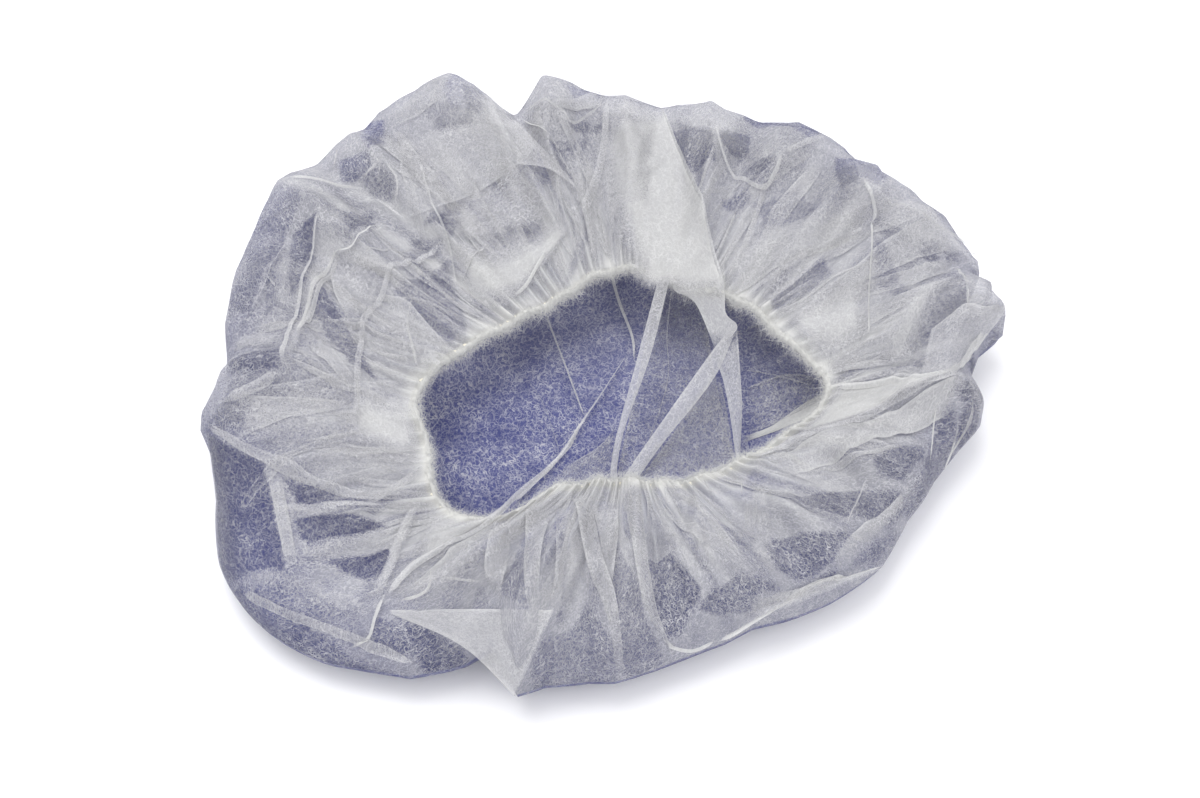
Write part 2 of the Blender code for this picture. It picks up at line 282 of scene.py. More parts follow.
# Panels of cloth folded over on the ruffle, each by its two long edges in pixels and its layers
photoPanels = {
    "topCorner": ([(385, 118), (410, 100), (446, 82)], [(392, 130), (425, 112), (452, 92)], 1),
    "topHump": ([(543, 105), (575, 101), (607, 98)], [(548, 110), (580, 112), (604, 108)], 2),
    "topUnder": ([(521, 118), (562, 116), (575, 128)], [(530, 135), (555, 150), (578, 150)], 1),
    "leftBulge": ([(329, 266), (336, 300), (352, 330)], [(388, 256), (383, 300), (366, 331)], 2),
    "rimPanel": ([(387, 301), (409, 306), (457, 355)], [(371, 336), (400, 372), (433, 389)], 2),
    "backPanel": ([(449, 247), (510, 237), (572, 229)], [(462, 292), (506, 310), (571, 233)], 4),
    "aboveBack": ([(438, 212), (485, 186), (529, 158)], [(449, 247), (510, 238), (568, 228)], 2),
    "bigFold": ([(594, 150), (604, 215), (636, 290)], [(661, 113), (699, 206), (724, 300)], 4),
    "topMiddle": ([(607, 106), (590, 170), (585, 225)], [(655, 112), (660, 170), (650, 230)], 1.4),
    "backMiddle": ([(540, 150), (565, 215), (566, 280)], [(600, 165), (585, 225), (600, 268)], 1),
    "rightBack": ([(716, 262), (760, 225), (810, 215), (862, 190)],
                  [(726, 298), (780, 268), (830, 255), (868, 232)], 2.5),
    "rightRim": ([(776, 312), (830, 275), (868, 262)], [(800, 347), (845, 374), (868, 342)], 3.5),
    "rightRimUpper": ([(736, 292), (775, 262), (820, 250)], [(765, 304), (790, 290), (822, 266)], 1),
    "rightTop": ([(872, 192), (922, 209), (964, 256)], [(871, 240), (920, 262), (975, 262)], 2),
    "rightMiddle": ([(872, 345), (900, 300), (915, 292)], [(900, 375), (930, 330), (955, 280)], 3),
    # belowFlap's layers are partly painted light, raised against the shade on the steep slope below the
    # flap
    "belowFlap": ([(832, 392), (917, 386), (955, 378)], [(785, 450), (889, 411), (968, 388)], 4.5),
    "rightBand": ([(760, 465), (833, 434), (968, 389)], [(786, 480), (860, 452), (950, 416)], 3),
    "nearRimFront": ([(745, 482), (752, 520), (750, 580)], [(775, 470), (770, 520), (782, 590)], 1),
    "frontGrey": ([(640, 496), (690, 530), (730, 590)], [(684, 490), (735, 540), (760, 600)], 1),
    "frontStrip": ([(572, 500), (585, 560), (618, 676)], [(590, 498), (606, 570), (626, 676)], 2),
    "frontStripRight": ([(622, 496), (640, 590), (662, 642)], [(640, 494), (652, 590), (676, 662)], 2),
    "frontStreak": ([(590, 500), (600, 540), (606, 590)], [(618, 498), (618, 540), (612, 590)], 2),
    "frontBandOne": ([(556, 508), (556, 560), (550, 612)], [(573, 505), (566, 560), (556, 612)], 1),
    "frontBandTwo": ([(527, 512), (524, 560), (526, 612)], [(550, 510), (541, 560), (538, 612)], 2),
    "frontBandThree": ([(497, 530), (485, 565), (488, 590)], [(512, 530), (508, 565), (500, 608)], 2),
    "diagonalUpper": ([(425, 500), (470, 522), (516, 501)], [(414, 573), (440, 552), (512, 508)], 3.5),
    "diagonalLower": ([(400, 600), (450, 556), (500, 520)], [(420, 614), (470, 580), (512, 540)], 3),
    "leftRimFold": ([(424, 500), (411, 536), (397, 570), (384, 600)],
                    [(412, 506), (398, 536), (385, 568), (368, 600)], 2.6),
    "leftWide": ([(227, 406), (300, 384), (362, 378)], [(212, 428), (300, 455), (372, 470)], 0.8),
    "leftBeside": ([(356, 376), (400, 393), (420, 415)], [(340, 442), (380, 464), (420, 472)], 4),
    "leftBand": ([(235, 341), (288, 338)], [(227, 373), (283, 352)], 2),
    "leftEdge": ([(208, 424), (263, 452), (315, 478), (378, 494)],
                 [(206, 430), (263, 464), (315, 490), (378, 503)], 1.4),
    "leftUpright": ([(267, 473), (279, 531), (287, 570)], [(281, 476), (292, 531), (299, 570)], 2),
    "leftCross": ([(296, 550), (336, 540), (396, 530)], [(298, 570), (340, 557), (394, 546)], 1.6),
    "leftCrossThin": ([(275, 507), (330, 509), (392, 508)], [(278, 519), (330, 520), (390, 518)], 1),
    "leftOuter": ([(286, 247), (262, 295), (235, 341)], [(305, 250), (300, 310), (283, 345)], 1),
    "slopeBand": ([(915, 470), (899, 497), (870, 523), (848, 540), (832, 562)],
                  [(930, 480), (912, 502), (892, 524), (868, 550), (838, 575)], 2.5),
    "frontRidgeBand": ([(749, 597), (792, 593), (826, 583), (881, 572)],
                       [(740, 636), (786, 613), (826, 596), (880, 575)], 2.5),
    "leftCorner": ([(388, 601), (330, 590), (236, 580)], [(376, 622), (310, 612), (243, 590)], 0.8),
    "rope": ([(322, 214), (306, 285), (290, 345), (276, 385)],
             [(345, 250), (318, 310), (304, 345), (293, 377)], 1.6),
}
# Panels without a crease along an edge: the shares of their width over which the two long edges fade,
# and then the share of their length over which the start fades
softEdges = {
    "topPanel": (0.12, 0, 0.45), "bigFold": (0.3, 0), "topMiddle": (0.5, 0.3), "backMiddle": (0.4, 0.4),
    "rightRim": (0.45, 0.45), "rightMiddle": (0.5, 0.4), "backPanel": (0.5, 0.3), "aboveBack": (0.4, 0.2),
    "leftBeside": (0.5, 0.4), "leftWide": (0, 0.5), "leftBulge": (0, 0.5), "rimPanel": (0, 0.5),
    "rope": (0.5, 0.3), "leftCross": (0.4, 0.4), "leftCrossThin": (0.4, 0.4), "leftRimFold": (0.3, 0.3),
    "leftBand": (0.3, 0.3), "belowFlap": (0, 0.25), "rightBack": (0.4, 0), "rightTop": (0.3, 0.3),
    "frontGrey": (0.4, 0.4), "leftOuter": (0.5, 0.5), "diagonalUpper": (0.5, 0), "diagonalLower": (0, 0.6),
    "nearRimFront": (0.3, 0.3), "slopeBand": (0, 0.4), "frontRidgeBand": (0.2, 0.3),
    "leftCorner": (0.4, 0.4),
}
# Flaps whose corners stand free, read in the same way
photoFlaps = {
    "topPanel": ([(375, 151), (435, 129), (511, 120), (538, 147)],
                 [(402, 221), (440, 207), (480, 192), (529, 157)], 2),
    "topTip": ([(514, 121), (545, 152), (577, 188)], [(516, 165), (548, 170), (576, 189)], 1.5),
    "rightFlap": ([(930, 332), (948, 318), (966, 305), (986, 308), (1006, 311)],
                  [(917, 386), (950, 378), (968, 360), (986, 338), (1004, 315)], 2),
    "lowFlap": ([(388, 612), (475, 611), (555, 612)], [(390, 615), (462, 648), (516, 699)], 2.5),
}
# Places where the ruffle is thin and the crown shows through, and patches of painted shade beside folds
# (backRight, besideLoop, panelShade, backRightShade): their corners in pixels and how thin or how dark
photoThinAndShadedPlaces = {
    "starLeft": ([(339, 162), (367, 152), (373, 166), (359, 182), (341, 182)], 0.6),
    "starRight": ([(361, 182), (382, 166), (396, 182), (392, 203), (375, 201)], 0.42),
    "topLeftSpot": ([(367, 125), (384, 121), (384, 146), (369, 150), (361, 142)], 0.7),
    "topCorner": ([(443, 91), (471, 87), (490, 105), (482, 117), (449, 105)], 0.6),
    "besideRope": ([(293, 235), (316, 215), (314, 244), (308, 284), (290, 299), (290, 256)], 0.7),
    "curl": ([(341, 211), (373, 213), (375, 229), (343, 250), (349, 233)], 0.6),
    "underTop": ([(424, 227), (461, 207), (463, 223), (451, 242), (439, 227)], 0.7),
    "underCurl": ([(412, 242), (443, 238), (445, 248), (404, 266)], 0.5),
    "middle": ([(394, 293), (447, 260), (463, 311), (470, 345), (455, 352), (430, 328), (408, 312)], 0.68),
    "leftEdgeUp": ([(226, 322), (250, 233), (266, 205), (290, 189), (302, 199), (286, 236),
                    (282, 252), (249, 313)], 0.45),
    "leftStripe": ([(267, 274), (282, 254), (278, 305), (265, 319)], 0.5),
    "underRope": ([(312, 303), (324, 291), (335, 305), (361, 354), (377, 382), (350, 364),
                   (329, 342)], 0.75),
    "leftTopSpot": ([(273, 193), (292, 191), (294, 201), (267, 211)], 0.35),
    "besideBand": ([(229, 375), (283, 350), (288, 356), (280, 372), (235, 376)], 0.6),
    "leftCorner": ([(213, 412), (251, 396), (243, 429), (216, 429)], 0.5),
    "leftLow": ([(207, 434), (264, 466), (280, 541), (288, 576), (230, 580), (218, 562), (216, 509)], 0.93),
    "crossTop": ([(286, 482), (318, 485), (377, 501), (409, 495), (374, 514), (334, 511), (299, 509)], 0.8),
    "crossMiddle": ([(294, 520), (371, 520), (387, 528), (312, 549), (302, 541)], 0.9),
    "crossLow": ([(321, 562), (387, 552), (393, 557), (387, 573), (369, 584), (339, 570)], 0.9),
    "lowLeft": ([(248, 597), (280, 581), (307, 584), (347, 613), (329, 627), (307, 621), (275, 613)], 0.48),
    "lowOutline": ([(227, 579), (270, 608), (315, 632), (350, 656), (414, 672), (452, 683),
                    (406, 698), (330, 682), (272, 656), (238, 620)], 0.72),
    "lowSide": ([(379, 621), (395, 624), (414, 653), (417, 661), (371, 651)], 0.59),
    "lowBay": ([(400, 621), (462, 648), (484, 664), (482, 672), (453, 678), (419, 662)], 0.68),
    "frontOne": ([(533, 525), (535, 550), (527, 609), (515, 607), (502, 595), (507, 574),
                  (523, 538)], 0.46),
    "frontTwo": ([(556, 507), (568, 521), (564, 546), (543, 570), (556, 538)], 0.43),
    "frontThree": ([(570, 542), (565, 582), (563, 623), (555, 624), (561, 602)], 0.43),
    "frontFour": ([(478, 587), (484, 587), (490, 611), (470, 611)], 0.31),
    "frontFive": ([(543, 644), (574, 627), (586, 603), (602, 633), (617, 664), (623, 680),
                   (523, 695), (535, 662)], 0.4),
    "frontSix": ([(615, 542), (625, 562), (639, 591), (643, 619), (664, 656), (625, 674),
                  (611, 623), (613, 582)], 0.46),
    "frontSeven": ([(623, 511), (643, 521), (647, 542), (637, 548), (625, 538)], 0.31),
    "frontEight": ([(641, 560), (671, 559), (700, 587), (700, 600), (681, 636), (663, 638),
                    (649, 612)], 0.66),
    "frontNine": ([(713, 590), (736, 576), (778, 592), (757, 597), (750, 611), (716, 615),
                   (697, 611)], 0.6),
    "frontTen": ([(695, 514), (716, 521), (755, 539), (750, 551), (739, 546), (709, 526)], 0.31),
    "nearRim": ([(750, 473), (759, 469), (772, 472), (771, 477), (757, 489), (752, 500), (741, 498)], 0.4),
    "rightEdgeLow": ([(929, 443), (950, 425), (957, 443), (948, 477), (929, 489), (886, 528),
                      (889, 515), (920, 485)], 0.45),
    "lowSpot": ([(819, 578), (835, 569), (835, 581), (824, 585)], 0.54),
    "topHump": ([(565, 86), (606, 97), (598, 102), (576, 103)], 0.6),
    "topUnder": ([(580, 121), (604, 125), (602, 133), (582, 133), (569, 127)], 0.6),
    "topGrey": ([(547, 146), (586, 137), (588, 166), (569, 184), (551, 160)], 0.5),
    # backRight and besideLoop are painted shade beside the big fold's right edge and beside the loop
    "backRight": ([(667, 129), (710, 125), (716, 166), (690, 178), (680, 152)], 0.65),
    "loop": ([(720, 131), (751, 135), (749, 156), (739, 162), (718, 143)], 0.75),
    "besideLoop": ([(745, 172), (765, 156), (776, 158), (765, 186), (747, 184)], 0.55),
    "underLoop": ([(720, 201), (749, 190), (751, 203), (735, 217)], 0.7),
    "rimSliver": ([(769, 302), (823, 260), (832, 276), (777, 313)], 0.6),
    "backSliver": ([(576, 248), (588, 231), (590, 239), (569, 286), (561, 286)], 0.5),
    "backGrey": ([(610, 221), (631, 184), (647, 225), (631, 250), (618, 243)], 0.3),
    "panelShade": ([(466, 205), (531, 166), (549, 172), (541, 213), (545, 250), (520, 274),
                    (500, 284), (484, 250)], 0.45),
    "backEdge": ([(737, 115), (790, 121), (820, 135), (815, 141), (780, 129), (745, 122)], 0.6),
    "rightTop": ([(836, 159), (855, 163), (894, 185), (881, 187), (858, 180), (840, 189),
                  (834, 172)], 0.75),
    "rightBackEdge": ([(825, 139), (858, 154), (890, 180), (897, 187), (881, 172), (847, 152)], 0.75),
    "rightGrey": ([(873, 217), (912, 208), (910, 230), (881, 239)], 0.45),
    "rightStripe": ([(921, 241), (938, 243), (938, 263), (929, 265), (921, 256)], 0.65),
    "rightSpot": ([(944, 250), (957, 250), (957, 263), (947, 263)], 0.65),
    "rightMiddle": ([(875, 243), (890, 261), (914, 291), (890, 293), (873, 284)], 0.5),
    "underFlap": ([(925, 295), (962, 280), (966, 295), (964, 323), (947, 330), (918, 341),
                   (921, 317)], 0.33),
    "rightOuter": ([(925, 206), (979, 256), (984, 274), (986, 300), (975, 295), (968, 265),
                    (940, 234)], 0.45),
    "flapSpot": ([(983, 308), (994, 313), (981, 319)], 0.5),
    "flapEdge": ([(968, 360), (977, 356), (999, 326), (1004, 318), (979, 368), (973, 373)], 0.85),
    "rightTail": ([(951, 393), (968, 391), (979, 412), (977, 440), (955, 440), (962, 415)], 0.7),
    "rightTailIn": ([(940, 404), (951, 408), (955, 440), (934, 440)], 0.55),
    "rightFront": ([(771, 499), (826, 494), (899, 496), (893, 510), (870, 523), (844, 519),
                    (817, 510)], 0.55),
    "rightFrontUp": ([(873, 461), (925, 450), (921, 467), (902, 485), (878, 480)], 0.5),
    "frontBig": ([(763, 546), (774, 540), (823, 534), (850, 537), (832, 562), (813, 577),
                  (797, 582), (775, 569)], 0.66),
    "rightSlope": ([(862, 557), (901, 528), (916, 516), (893, 546), (875, 563), (847, 572)], 0.45),
    "rightLow": ([(756, 634), (826, 598), (873, 577), (878, 577), (870, 587), (832, 610),
                  (801, 626)], 0.75),
    "slitRight": ([(904, 511), (930, 484), (938, 481), (934, 490), (907, 513)], 0.6),
    "backRightShade": ([(752, 205), (800, 190), (818, 208), (770, 228)], 0.4),
}
# Folds pressed into the crown, seen through the opening: long edges in pixels and layers
crownPanels = {
    "wideLayer": ([(662, 276), (640, 366), (612, 500)], [(700, 276), (716, 380), (741, 490)], 0.45),
    "underFlap": ([(714, 372), (668, 440), (640, 478)], [(720, 376), (732, 440), (738, 482)], 0.8),
    "backPatch": ([(725, 286), (728, 314)], [(752, 296), (740, 308)], 3),
    # rightLayer's layers are partly painted light, raised where the big fold's tail shades the crown
    "rightLayer": ([(743, 388), (790, 374), (826, 380)], [(743, 434), (773, 424), (830, 396)], 0.9),
    "rightHaze": ([(742, 330), (770, 325), (800, 345)], [(743, 390), (790, 376), (822, 380)], 0.3),
    # frontCorner's many layers are partly painted light, raised where the rim shades it
    "frontCorner": ([(743, 436), (773, 424), (806, 401), (832, 390)],
                    [(743, 442), (781, 428), (806, 417), (834, 404)], 5),
    "lowLayer": ([(618, 424), (598, 446), (560, 470)], [(622, 500), (590, 500), (540, 500)], 1),
}
# The big fold's tail: it hangs from the back of the rim into the opening and down to the crown
tailPanels = {
    "overRim": ([(662, 258), (673, 289), (687, 297), (696, 305), (705, 324), (715, 350)],
                [(724, 258), (725, 292), (726, 314), (737, 325), (734, 334), (716, 351)], 3.2),
    "tallFlap": ([(716, 350), (718, 366), (723, 381), (730, 416), (738, 476)],
                 [(737, 325), (739, 356), (741, 385), (742, 414), (739, 478)], 2.4),
    "stripLeft": ([(662, 268), (637, 360), (613, 452), (610, 506)],
                  [(673, 268), (651, 355), (622, 440), (614, 506)], 2.4),
    "stripRight": ([(737, 327), (714, 350), (640, 454), (606, 506)],
                   [(737, 329), (713, 381), (661, 447), (618, 506)], 2.6),
}
# Creases of the crown: line in pixels, widths in mm, layers
crownStrips = {
    "creaseLong": ([(545, 315), (565, 367), (585, 421)], 1.6, 1.2, 3),
    "creaseBack": ([(608, 262), (618, 301), (632, 339), (634, 362)], 2.4, 1.6, 3.5),
    "creaseThin": ([(672, 288), (667, 335), (667, 385), (648, 446), (640, 470)], 1.2, 0.4, 2),
    "diagonal": ([(628, 355), (603, 394), (585, 420), (554, 465), (512, 506)], 0.5, 3.2, 3),
    "creaseLeft": ([(500, 350), (540, 400), (560, 455)], 0.5, 0.5, 2),
    "creaseRight": ([(742, 372), (775, 378), (812, 388)], 0.5, 0.5, 2),
}


# How pixels are brought down to the cloth: the first guess of its height and how often it is bettered,
# the crown's height, and the tail's slope from its front to its back, all in metres
reading = {
    "firstHeight": 0.03, "tries": 12, "crownHeight": 0.002,
    "tailFront": -0.050, "tailBack": 0.040, "tailLow": 0.003, "tailOverRim": 0.004, "tailCurve": 1.3,
}


def cameraFrame():
    # the way back to the camera, the picture's up direction and the camera's place
    tilt = math.radians(view["elevation"])
    back = np.array([0, -math.cos(tilt), math.sin(tilt)])
    up = np.array([0, math.sin(tilt), math.cos(tilt)])
    return back, up, np.array(view["target"]) + back * view["distance"]


def planFromPixels(pixels, heightAt):
    # where the rays through pixels of the photograph meet the cloth: the height is read where the last
    # guess fell and the ray is cut there again
    back, up, eye = cameraFrame()
    pixels = np.array(pixels, float)
    focal = view["lens"] / view["sensor"] * view["frameWidth"]
    right = (pixels[:, 0] - view["frameWidth"] / 2) / focal
    rise = (view["frameHeight"] / 2 - pixels[:, 1]) / focal
    rays = -back + right[:, None] * np.array([1.0, 0, 0]) + rise[:, None] * up
    height = np.full(len(pixels), reading["firstHeight"])
    for guess in range(reading["tries"]):
        points = eye + rays * ((height - eye[2]) / rays[:, 2])[:, None]
        height = 0.5 * height + 0.5 * heightAt(points[:, 0], points[:, 1])
    return points[:, :2]


def denseLine(points, count):
    # a smooth line through a few points, with equal steps: a cubic through each point and its
    # neighbours, read finely and then spaced by length
    ends = np.vstack([2 * points[0] - points[1], points, 2 * points[-1] - points[-2]])
    piece = np.linspace(0, 1, 20, endpoint=False)[:, None]
    parts = [0.5 * (2 * b + (c - a) * piece + (2 * a - 5 * b + 4 * c - d) * piece ** 2
                    + (3 * b - a - 3 * c + d) * piece ** 3)
             for a, b, c, d in zip(ends[:-3], ends[1:-2], ends[2:-1], ends[3:])]
    fine = np.vstack(parts + [points[-1:]])
    reach = np.concatenate([[0], np.cumsum(np.linalg.norm(np.diff(fine, axis=0), axis=1))])
    even = np.linspace(0, reach[-1], count)
    return np.stack([np.interp(even, reach, way) for way in fine.T], axis=1), reach[-1]


def lineAway(x, y, line):
    # distance from plan positions to a broken line, and the share of the line at the nearest point
    away = np.full(x.shape, 1.0)
    share = np.zeros(x.shape)
    for step in range(len(line) - 1):
        way = line[step + 1] - line[step]
        offsetX, offsetY = x - line[step, 0], y - line[step, 1]
        part = np.clip((offsetX * way[0] + offsetY * way[1]) / (way @ way), 0, 1)
        miss = np.hypot(offsetX - part * way[0], offsetY - part * way[1])
        nearer = miss < away
        away = np.where(nearer, miss, away)
        share = np.where(nearer, (step + part) / (len(line) - 1), share)
    return away, share


def plainHeight(x, y):
    # the ruffle's height over a plan position, before its own creases
    angles, along = sheetPlace(x, y)
    return ruffleAt(angles, np.clip(along, 0.02, 1.0))[2]


def crownHeight(x, y):
    # the crown lies all but flat on the floor
    return np.full(np.shape(x), reading["crownHeight"])


def tailHeight(x, y):
    # a slope from the back of the rim down to the crown at its front
    back, front = reading["tailBack"], reading["tailFront"]
    share = np.clip((y - front) / (back - front), 0, 1) ** reading["tailCurve"]
    return reading["tailLow"] + (bag["openingHeight"] + reading["tailOverRim"]) * share


print("placing folds")
foldLines, thinAndShadedLines, stripLines = (
    {name: planFromPixels(row[0], heightAt) for name, row in rows.items()}
    for rows, heightAt in ((photoFolds, plainHeight), (photoThinAndShadedPlaces, plainHeight),
                           (crownStrips, crownHeight)))

# Small creases of the ruffle, straight and mostly running in to the opening: heights and half widths in
# metres, where their ends lie on the way in, their slant in degrees and how fast their ends taper
smallCreases = {
    "seed": 4, "count": 170, "height": (0.0006, 0.0022), "halfWidth": (0.0022, 0.0065),
    "inner": (0.45, 1.0), "outer": (0.02, 0.45), "slant": 9, "taper": 5,
}


def scatterCreases():
    # each starts at a random angle and way in, and ends nearer the outline at a slightly other angle
    rng = np.random.default_rng(smallCreases["seed"])
    count = smallCreases["count"]
    angles = rng.uniform(0, 360, count)
    inner, outer = (rng.uniform(*smallCreases[end], count) for end in ("inner", "outer"))
    inEnd = ruffleAt(angles, inner)[:2]
    outEnd = ruffleAt(angles + rng.normal(0, smallCreases["slant"], count), outer)[:2]
    lines = np.array([inEnd, outEnd]).transpose(2, 0, 1) + shift
    heights = rng.uniform(*smallCreases["height"], count)
    widths = rng.uniform(*smallCreases["halfWidth"], count)
    return lines, heights, widths


creaseLines, creaseHeights, creaseWidths = scatterCreases()


def creaseLift(x, y):
    # the photograph's folds and the small creases, each a straight-sided ridge over its line
    lift = np.zeros(x.shape)
    for name, (pixels, widthStart, widthEnd, height, layers) in photoFolds.items():
        away, share = lineAway(x, y, foldLines[name])
        half = (widthStart + (widthEnd - widthStart) * share) / 2000 + folds["creaseFoot"]
        lift = np.maximum(lift, height / 1000 * np.clip(1 - away / half, 0, 1))
    for line, height, width in zip(creaseLines, creaseHeights, creaseWidths):
        away, share = lineAway(x, y, line)
        taper = np.minimum(1, np.minimum(share, 1 - share) * smallCreases["taper"])
        lift = lift + height * taper * np.clip(1 - away / width, 0, 1)
    return lift


def ruffleHeight(x, y):
    # the ruffle's full height over a plan position
    return plainHeight(x, y) + creaseLift(x, y)


def flapHeight(x, y):
    # the highest of the ruffle within a few millimetres, so that a free flap lies over all of it
    near = np.array([(0, 0), (1, 0), (-1, 0), (0, 1), (0, -1), (0.5, 0), (-0.5, 0)]) * folds["flapReach"]
    return np.max([ruffleHeight(x + right, y + back) for right, back in near], axis=0)


def readPanels(rows, heightAt):
    # panels brought down to the cloth: two edges in plan, the layers and how softly the edges end
    return [(planFromPixels(a, heightAt), planFromPixels(b, heightAt), count, *softEdges.get(name, ()))
            for name, (a, b, count) in rows.items()]


def flapEdge(pixels):
    # an edge of a free flap in space
    plan = planFromPixels(pixels, flapHeight)
    return np.column_stack([plan, flapHeight(plan[:, 0], plan[:, 1])])


def atRest(x, y):
    # the height already given by a flap's own edges
    return 0 * x


def wayInside(x, y, sides):
    # how far inside a many-sided place a plan position lies, in metres, below 0 outside: the distance
    # to the nearest side, with the sign from how many sides lie to the right
    away = np.full(x.shape, 1.0)
    inside = np.zeros(x.shape, bool)
    for start, end in zip(sides, np.roll(sides, -1, axis=0)):
        way = end - start
        part = np.clip(((x - start[0]) * way[0] + (y - start[1]) * way[1]) / (way @ way), 0, 1)
        away = np.minimum(away, np.hypot(x - start[0] - part * way[0], y - start[1] - part * way[1]))
        crosses = (start[1] > y) != (end[1] > y)
        inside ^= crosses & (x < start[0] + (y - start[1]) * way[0] / (way[1] + 1e-12))
    return np.where(inside, away, -away)


def thinOrShadedShare(x, y):
    # how thin the ruffle is, or how dark its painted shade is, 0 outside those places, whose edges are a
    # little soft
    share = np.zeros(x.shape)
    for name, (pixels, strength) in photoThinAndShadedPlaces.items():
        edge = np.clip(wayInside(x, y, thinAndShadedLines[name]) / cloth["thinOrShadeEdge"] + 0.5, 0, 1)
        share = np.maximum(share, strength * edge)
    return share


def unevenRound(angles, seed, waves):
    # a wavy value round the bag, the sum of many cosines with random turns
    rng = np.random.default_rng(seed)
    total = np.zeros(np.shape(angles))
    for wave in waves:
        total = total + np.cos(np.radians(angles) * wave + rng.uniform(0, 2 * math.pi))
    return total / math.sqrt(len(waves) / 2)


def addPiece(name, points, faces, flat, layers, lying, crest):
    # a mesh from whole arrays: points, faces, each point's place on the flat cloth in metres, and the
    # three values that the cloth's material reads
    mesh = bpy.data.meshes.new(name)
    mesh.from_pydata(points.tolist(), [], faces)
    mesh.update()
    uv = mesh.uv_layers.new(name="flatCloth")
    loopPoints = np.empty(len(mesh.loops), np.int32)
    mesh.loops.foreach_get("vertex_index", loopPoints)
    uv.data.foreach_set("uv", (flat[loopPoints] / cloth["discWidth"] + 0.5).astype(np.float32).ravel())
    for attribute, values in (("layers", layers), ("lying", lying), ("crest", crest)):
        mesh.attributes.new(attribute, "FLOAT", "POINT").data.foreach_set(
            "value", values.astype(np.float32).ravel())
    mesh.shade_smooth()
    piece = bpy.data.objects.new(name, mesh)
    bpy.context.scene.collection.objects.link(piece)
    return piece


cloth = {
    "discWidth": 0.533,            # the flat disc that the bag is cut from
    "floorGap": 0.0004,            # the crown's cloth over the floor
    "crownRadii": (0.985, 0.06),   # the crown's rings run between these, squared and turned round
    "ringCrowding": 1.15,          # above 1, the ruffle's rings stand closer near the outline
    # the gathers: depth in metres, waves round the bag, and where and how fast they grow on the way in
    "gatherDepth": 0.0011, "gatherWaves": range(70, 130, 4), "gatherStart": 0.25, "gatherGrowth": 1.3,
    # what is left of the creases at the outline and at the hem, and how fast they grow from there
    "creasesLeft": (0.15, 0.2), "creasesGrow": (12, 6),
    # streaks of thicker and thinner cloth: waves round the bag, depth, and their turn in degrees
    "streakWaves": range(17, 90, 5), "streakDepth": 0.16, "streakTurn": 6,
    # layers of the crown by the place across, from front to back in metres: one at the front, and more at
    # the back as painted light that lifts the shade the rim casts there
    "crownLayersWithPaintedLight": ((-0.005, 0.035), (1.0, 1.35)),
    # layers of the ruffle at the outline, by angle, and at the rim
    "layersOutside": ((0, 60, 110, 145, 170, 190, 225, 255, 300, 345),
                      (2.0, 1.7, 1.7, 2.5, 1.8, 1.3, 1.8, 2.4, 2.4, 2.2)),
    "layersAtRim": 3.6, "layersGrowth": 1.4,
    # layers that the gathers add beside the hem, by angle, and over what share of the way in
    "bandLayers": ((0, 50, 75, 130, 155, 330), (2.5, 2.0, 0.8, 1.0, 2.4, 2.5)), "bandReach": 0.07,
    # how thin the thin places are and how dark the painted shade is, and how wide their edges in metres
    "thinOrShadeDepth": 0.92, "thinOrShadeEdge": 0.0014,
    # the blue-violet ground: what is left of it at the top of the crown's side
    "groundOfSide": 0.78,
    # how far the thin places and the painted shade clear that ground away, or deepen it where below 0, by
    # angle
    "thinOrShadeClearsGround": ((0, 15, 35, 60, 140, 155, 172, 190),
                           (1, 0.8, -0.5, -1.2, -1.2, -0.3, 0.8, 1)),
    # how much of it is left in the ruffle at the outline, by angle
    "groundAtOutline": ((0, 40, 90, 150, 200, 250, 300, 330),
                        (0.5, 0.5, 0.42, 0.48, 0.5, 0.25, 0.22, 0.35)),
    "groundReach": 0.35,           # way in over which the ruffle loses it
}
# The rolled hem: turns round the elastic in degrees, how full the roll is and how it varies, and its
# layers from the top round to the inner side
hemRoll = {
    "turns": (80, -125), "rings": 11, "fullness": 0.86, "unevenness": 0.07, "waves": range(60, 200, 9),
    "layers": ((0, 4, 7, 11), (7.0, 6.0, 3.0, 1.2)), "layerChange": 0.12, "layerWaves": range(90, 260, 11),
}


def gridFaces(rows, columns, closed):
    # quads of a grid; a closed one's last column meets its first
    across = np.arange(columns if closed else columns - 1)
    row, column = np.meshgrid(np.arange(rows - 1), across, indexing="ij")
    here, beside = row * columns + column, row * columns + (column + 1) % columns
    return np.stack([here, beside, beside + columns, here + columns], axis=-1).reshape(-1, 4)


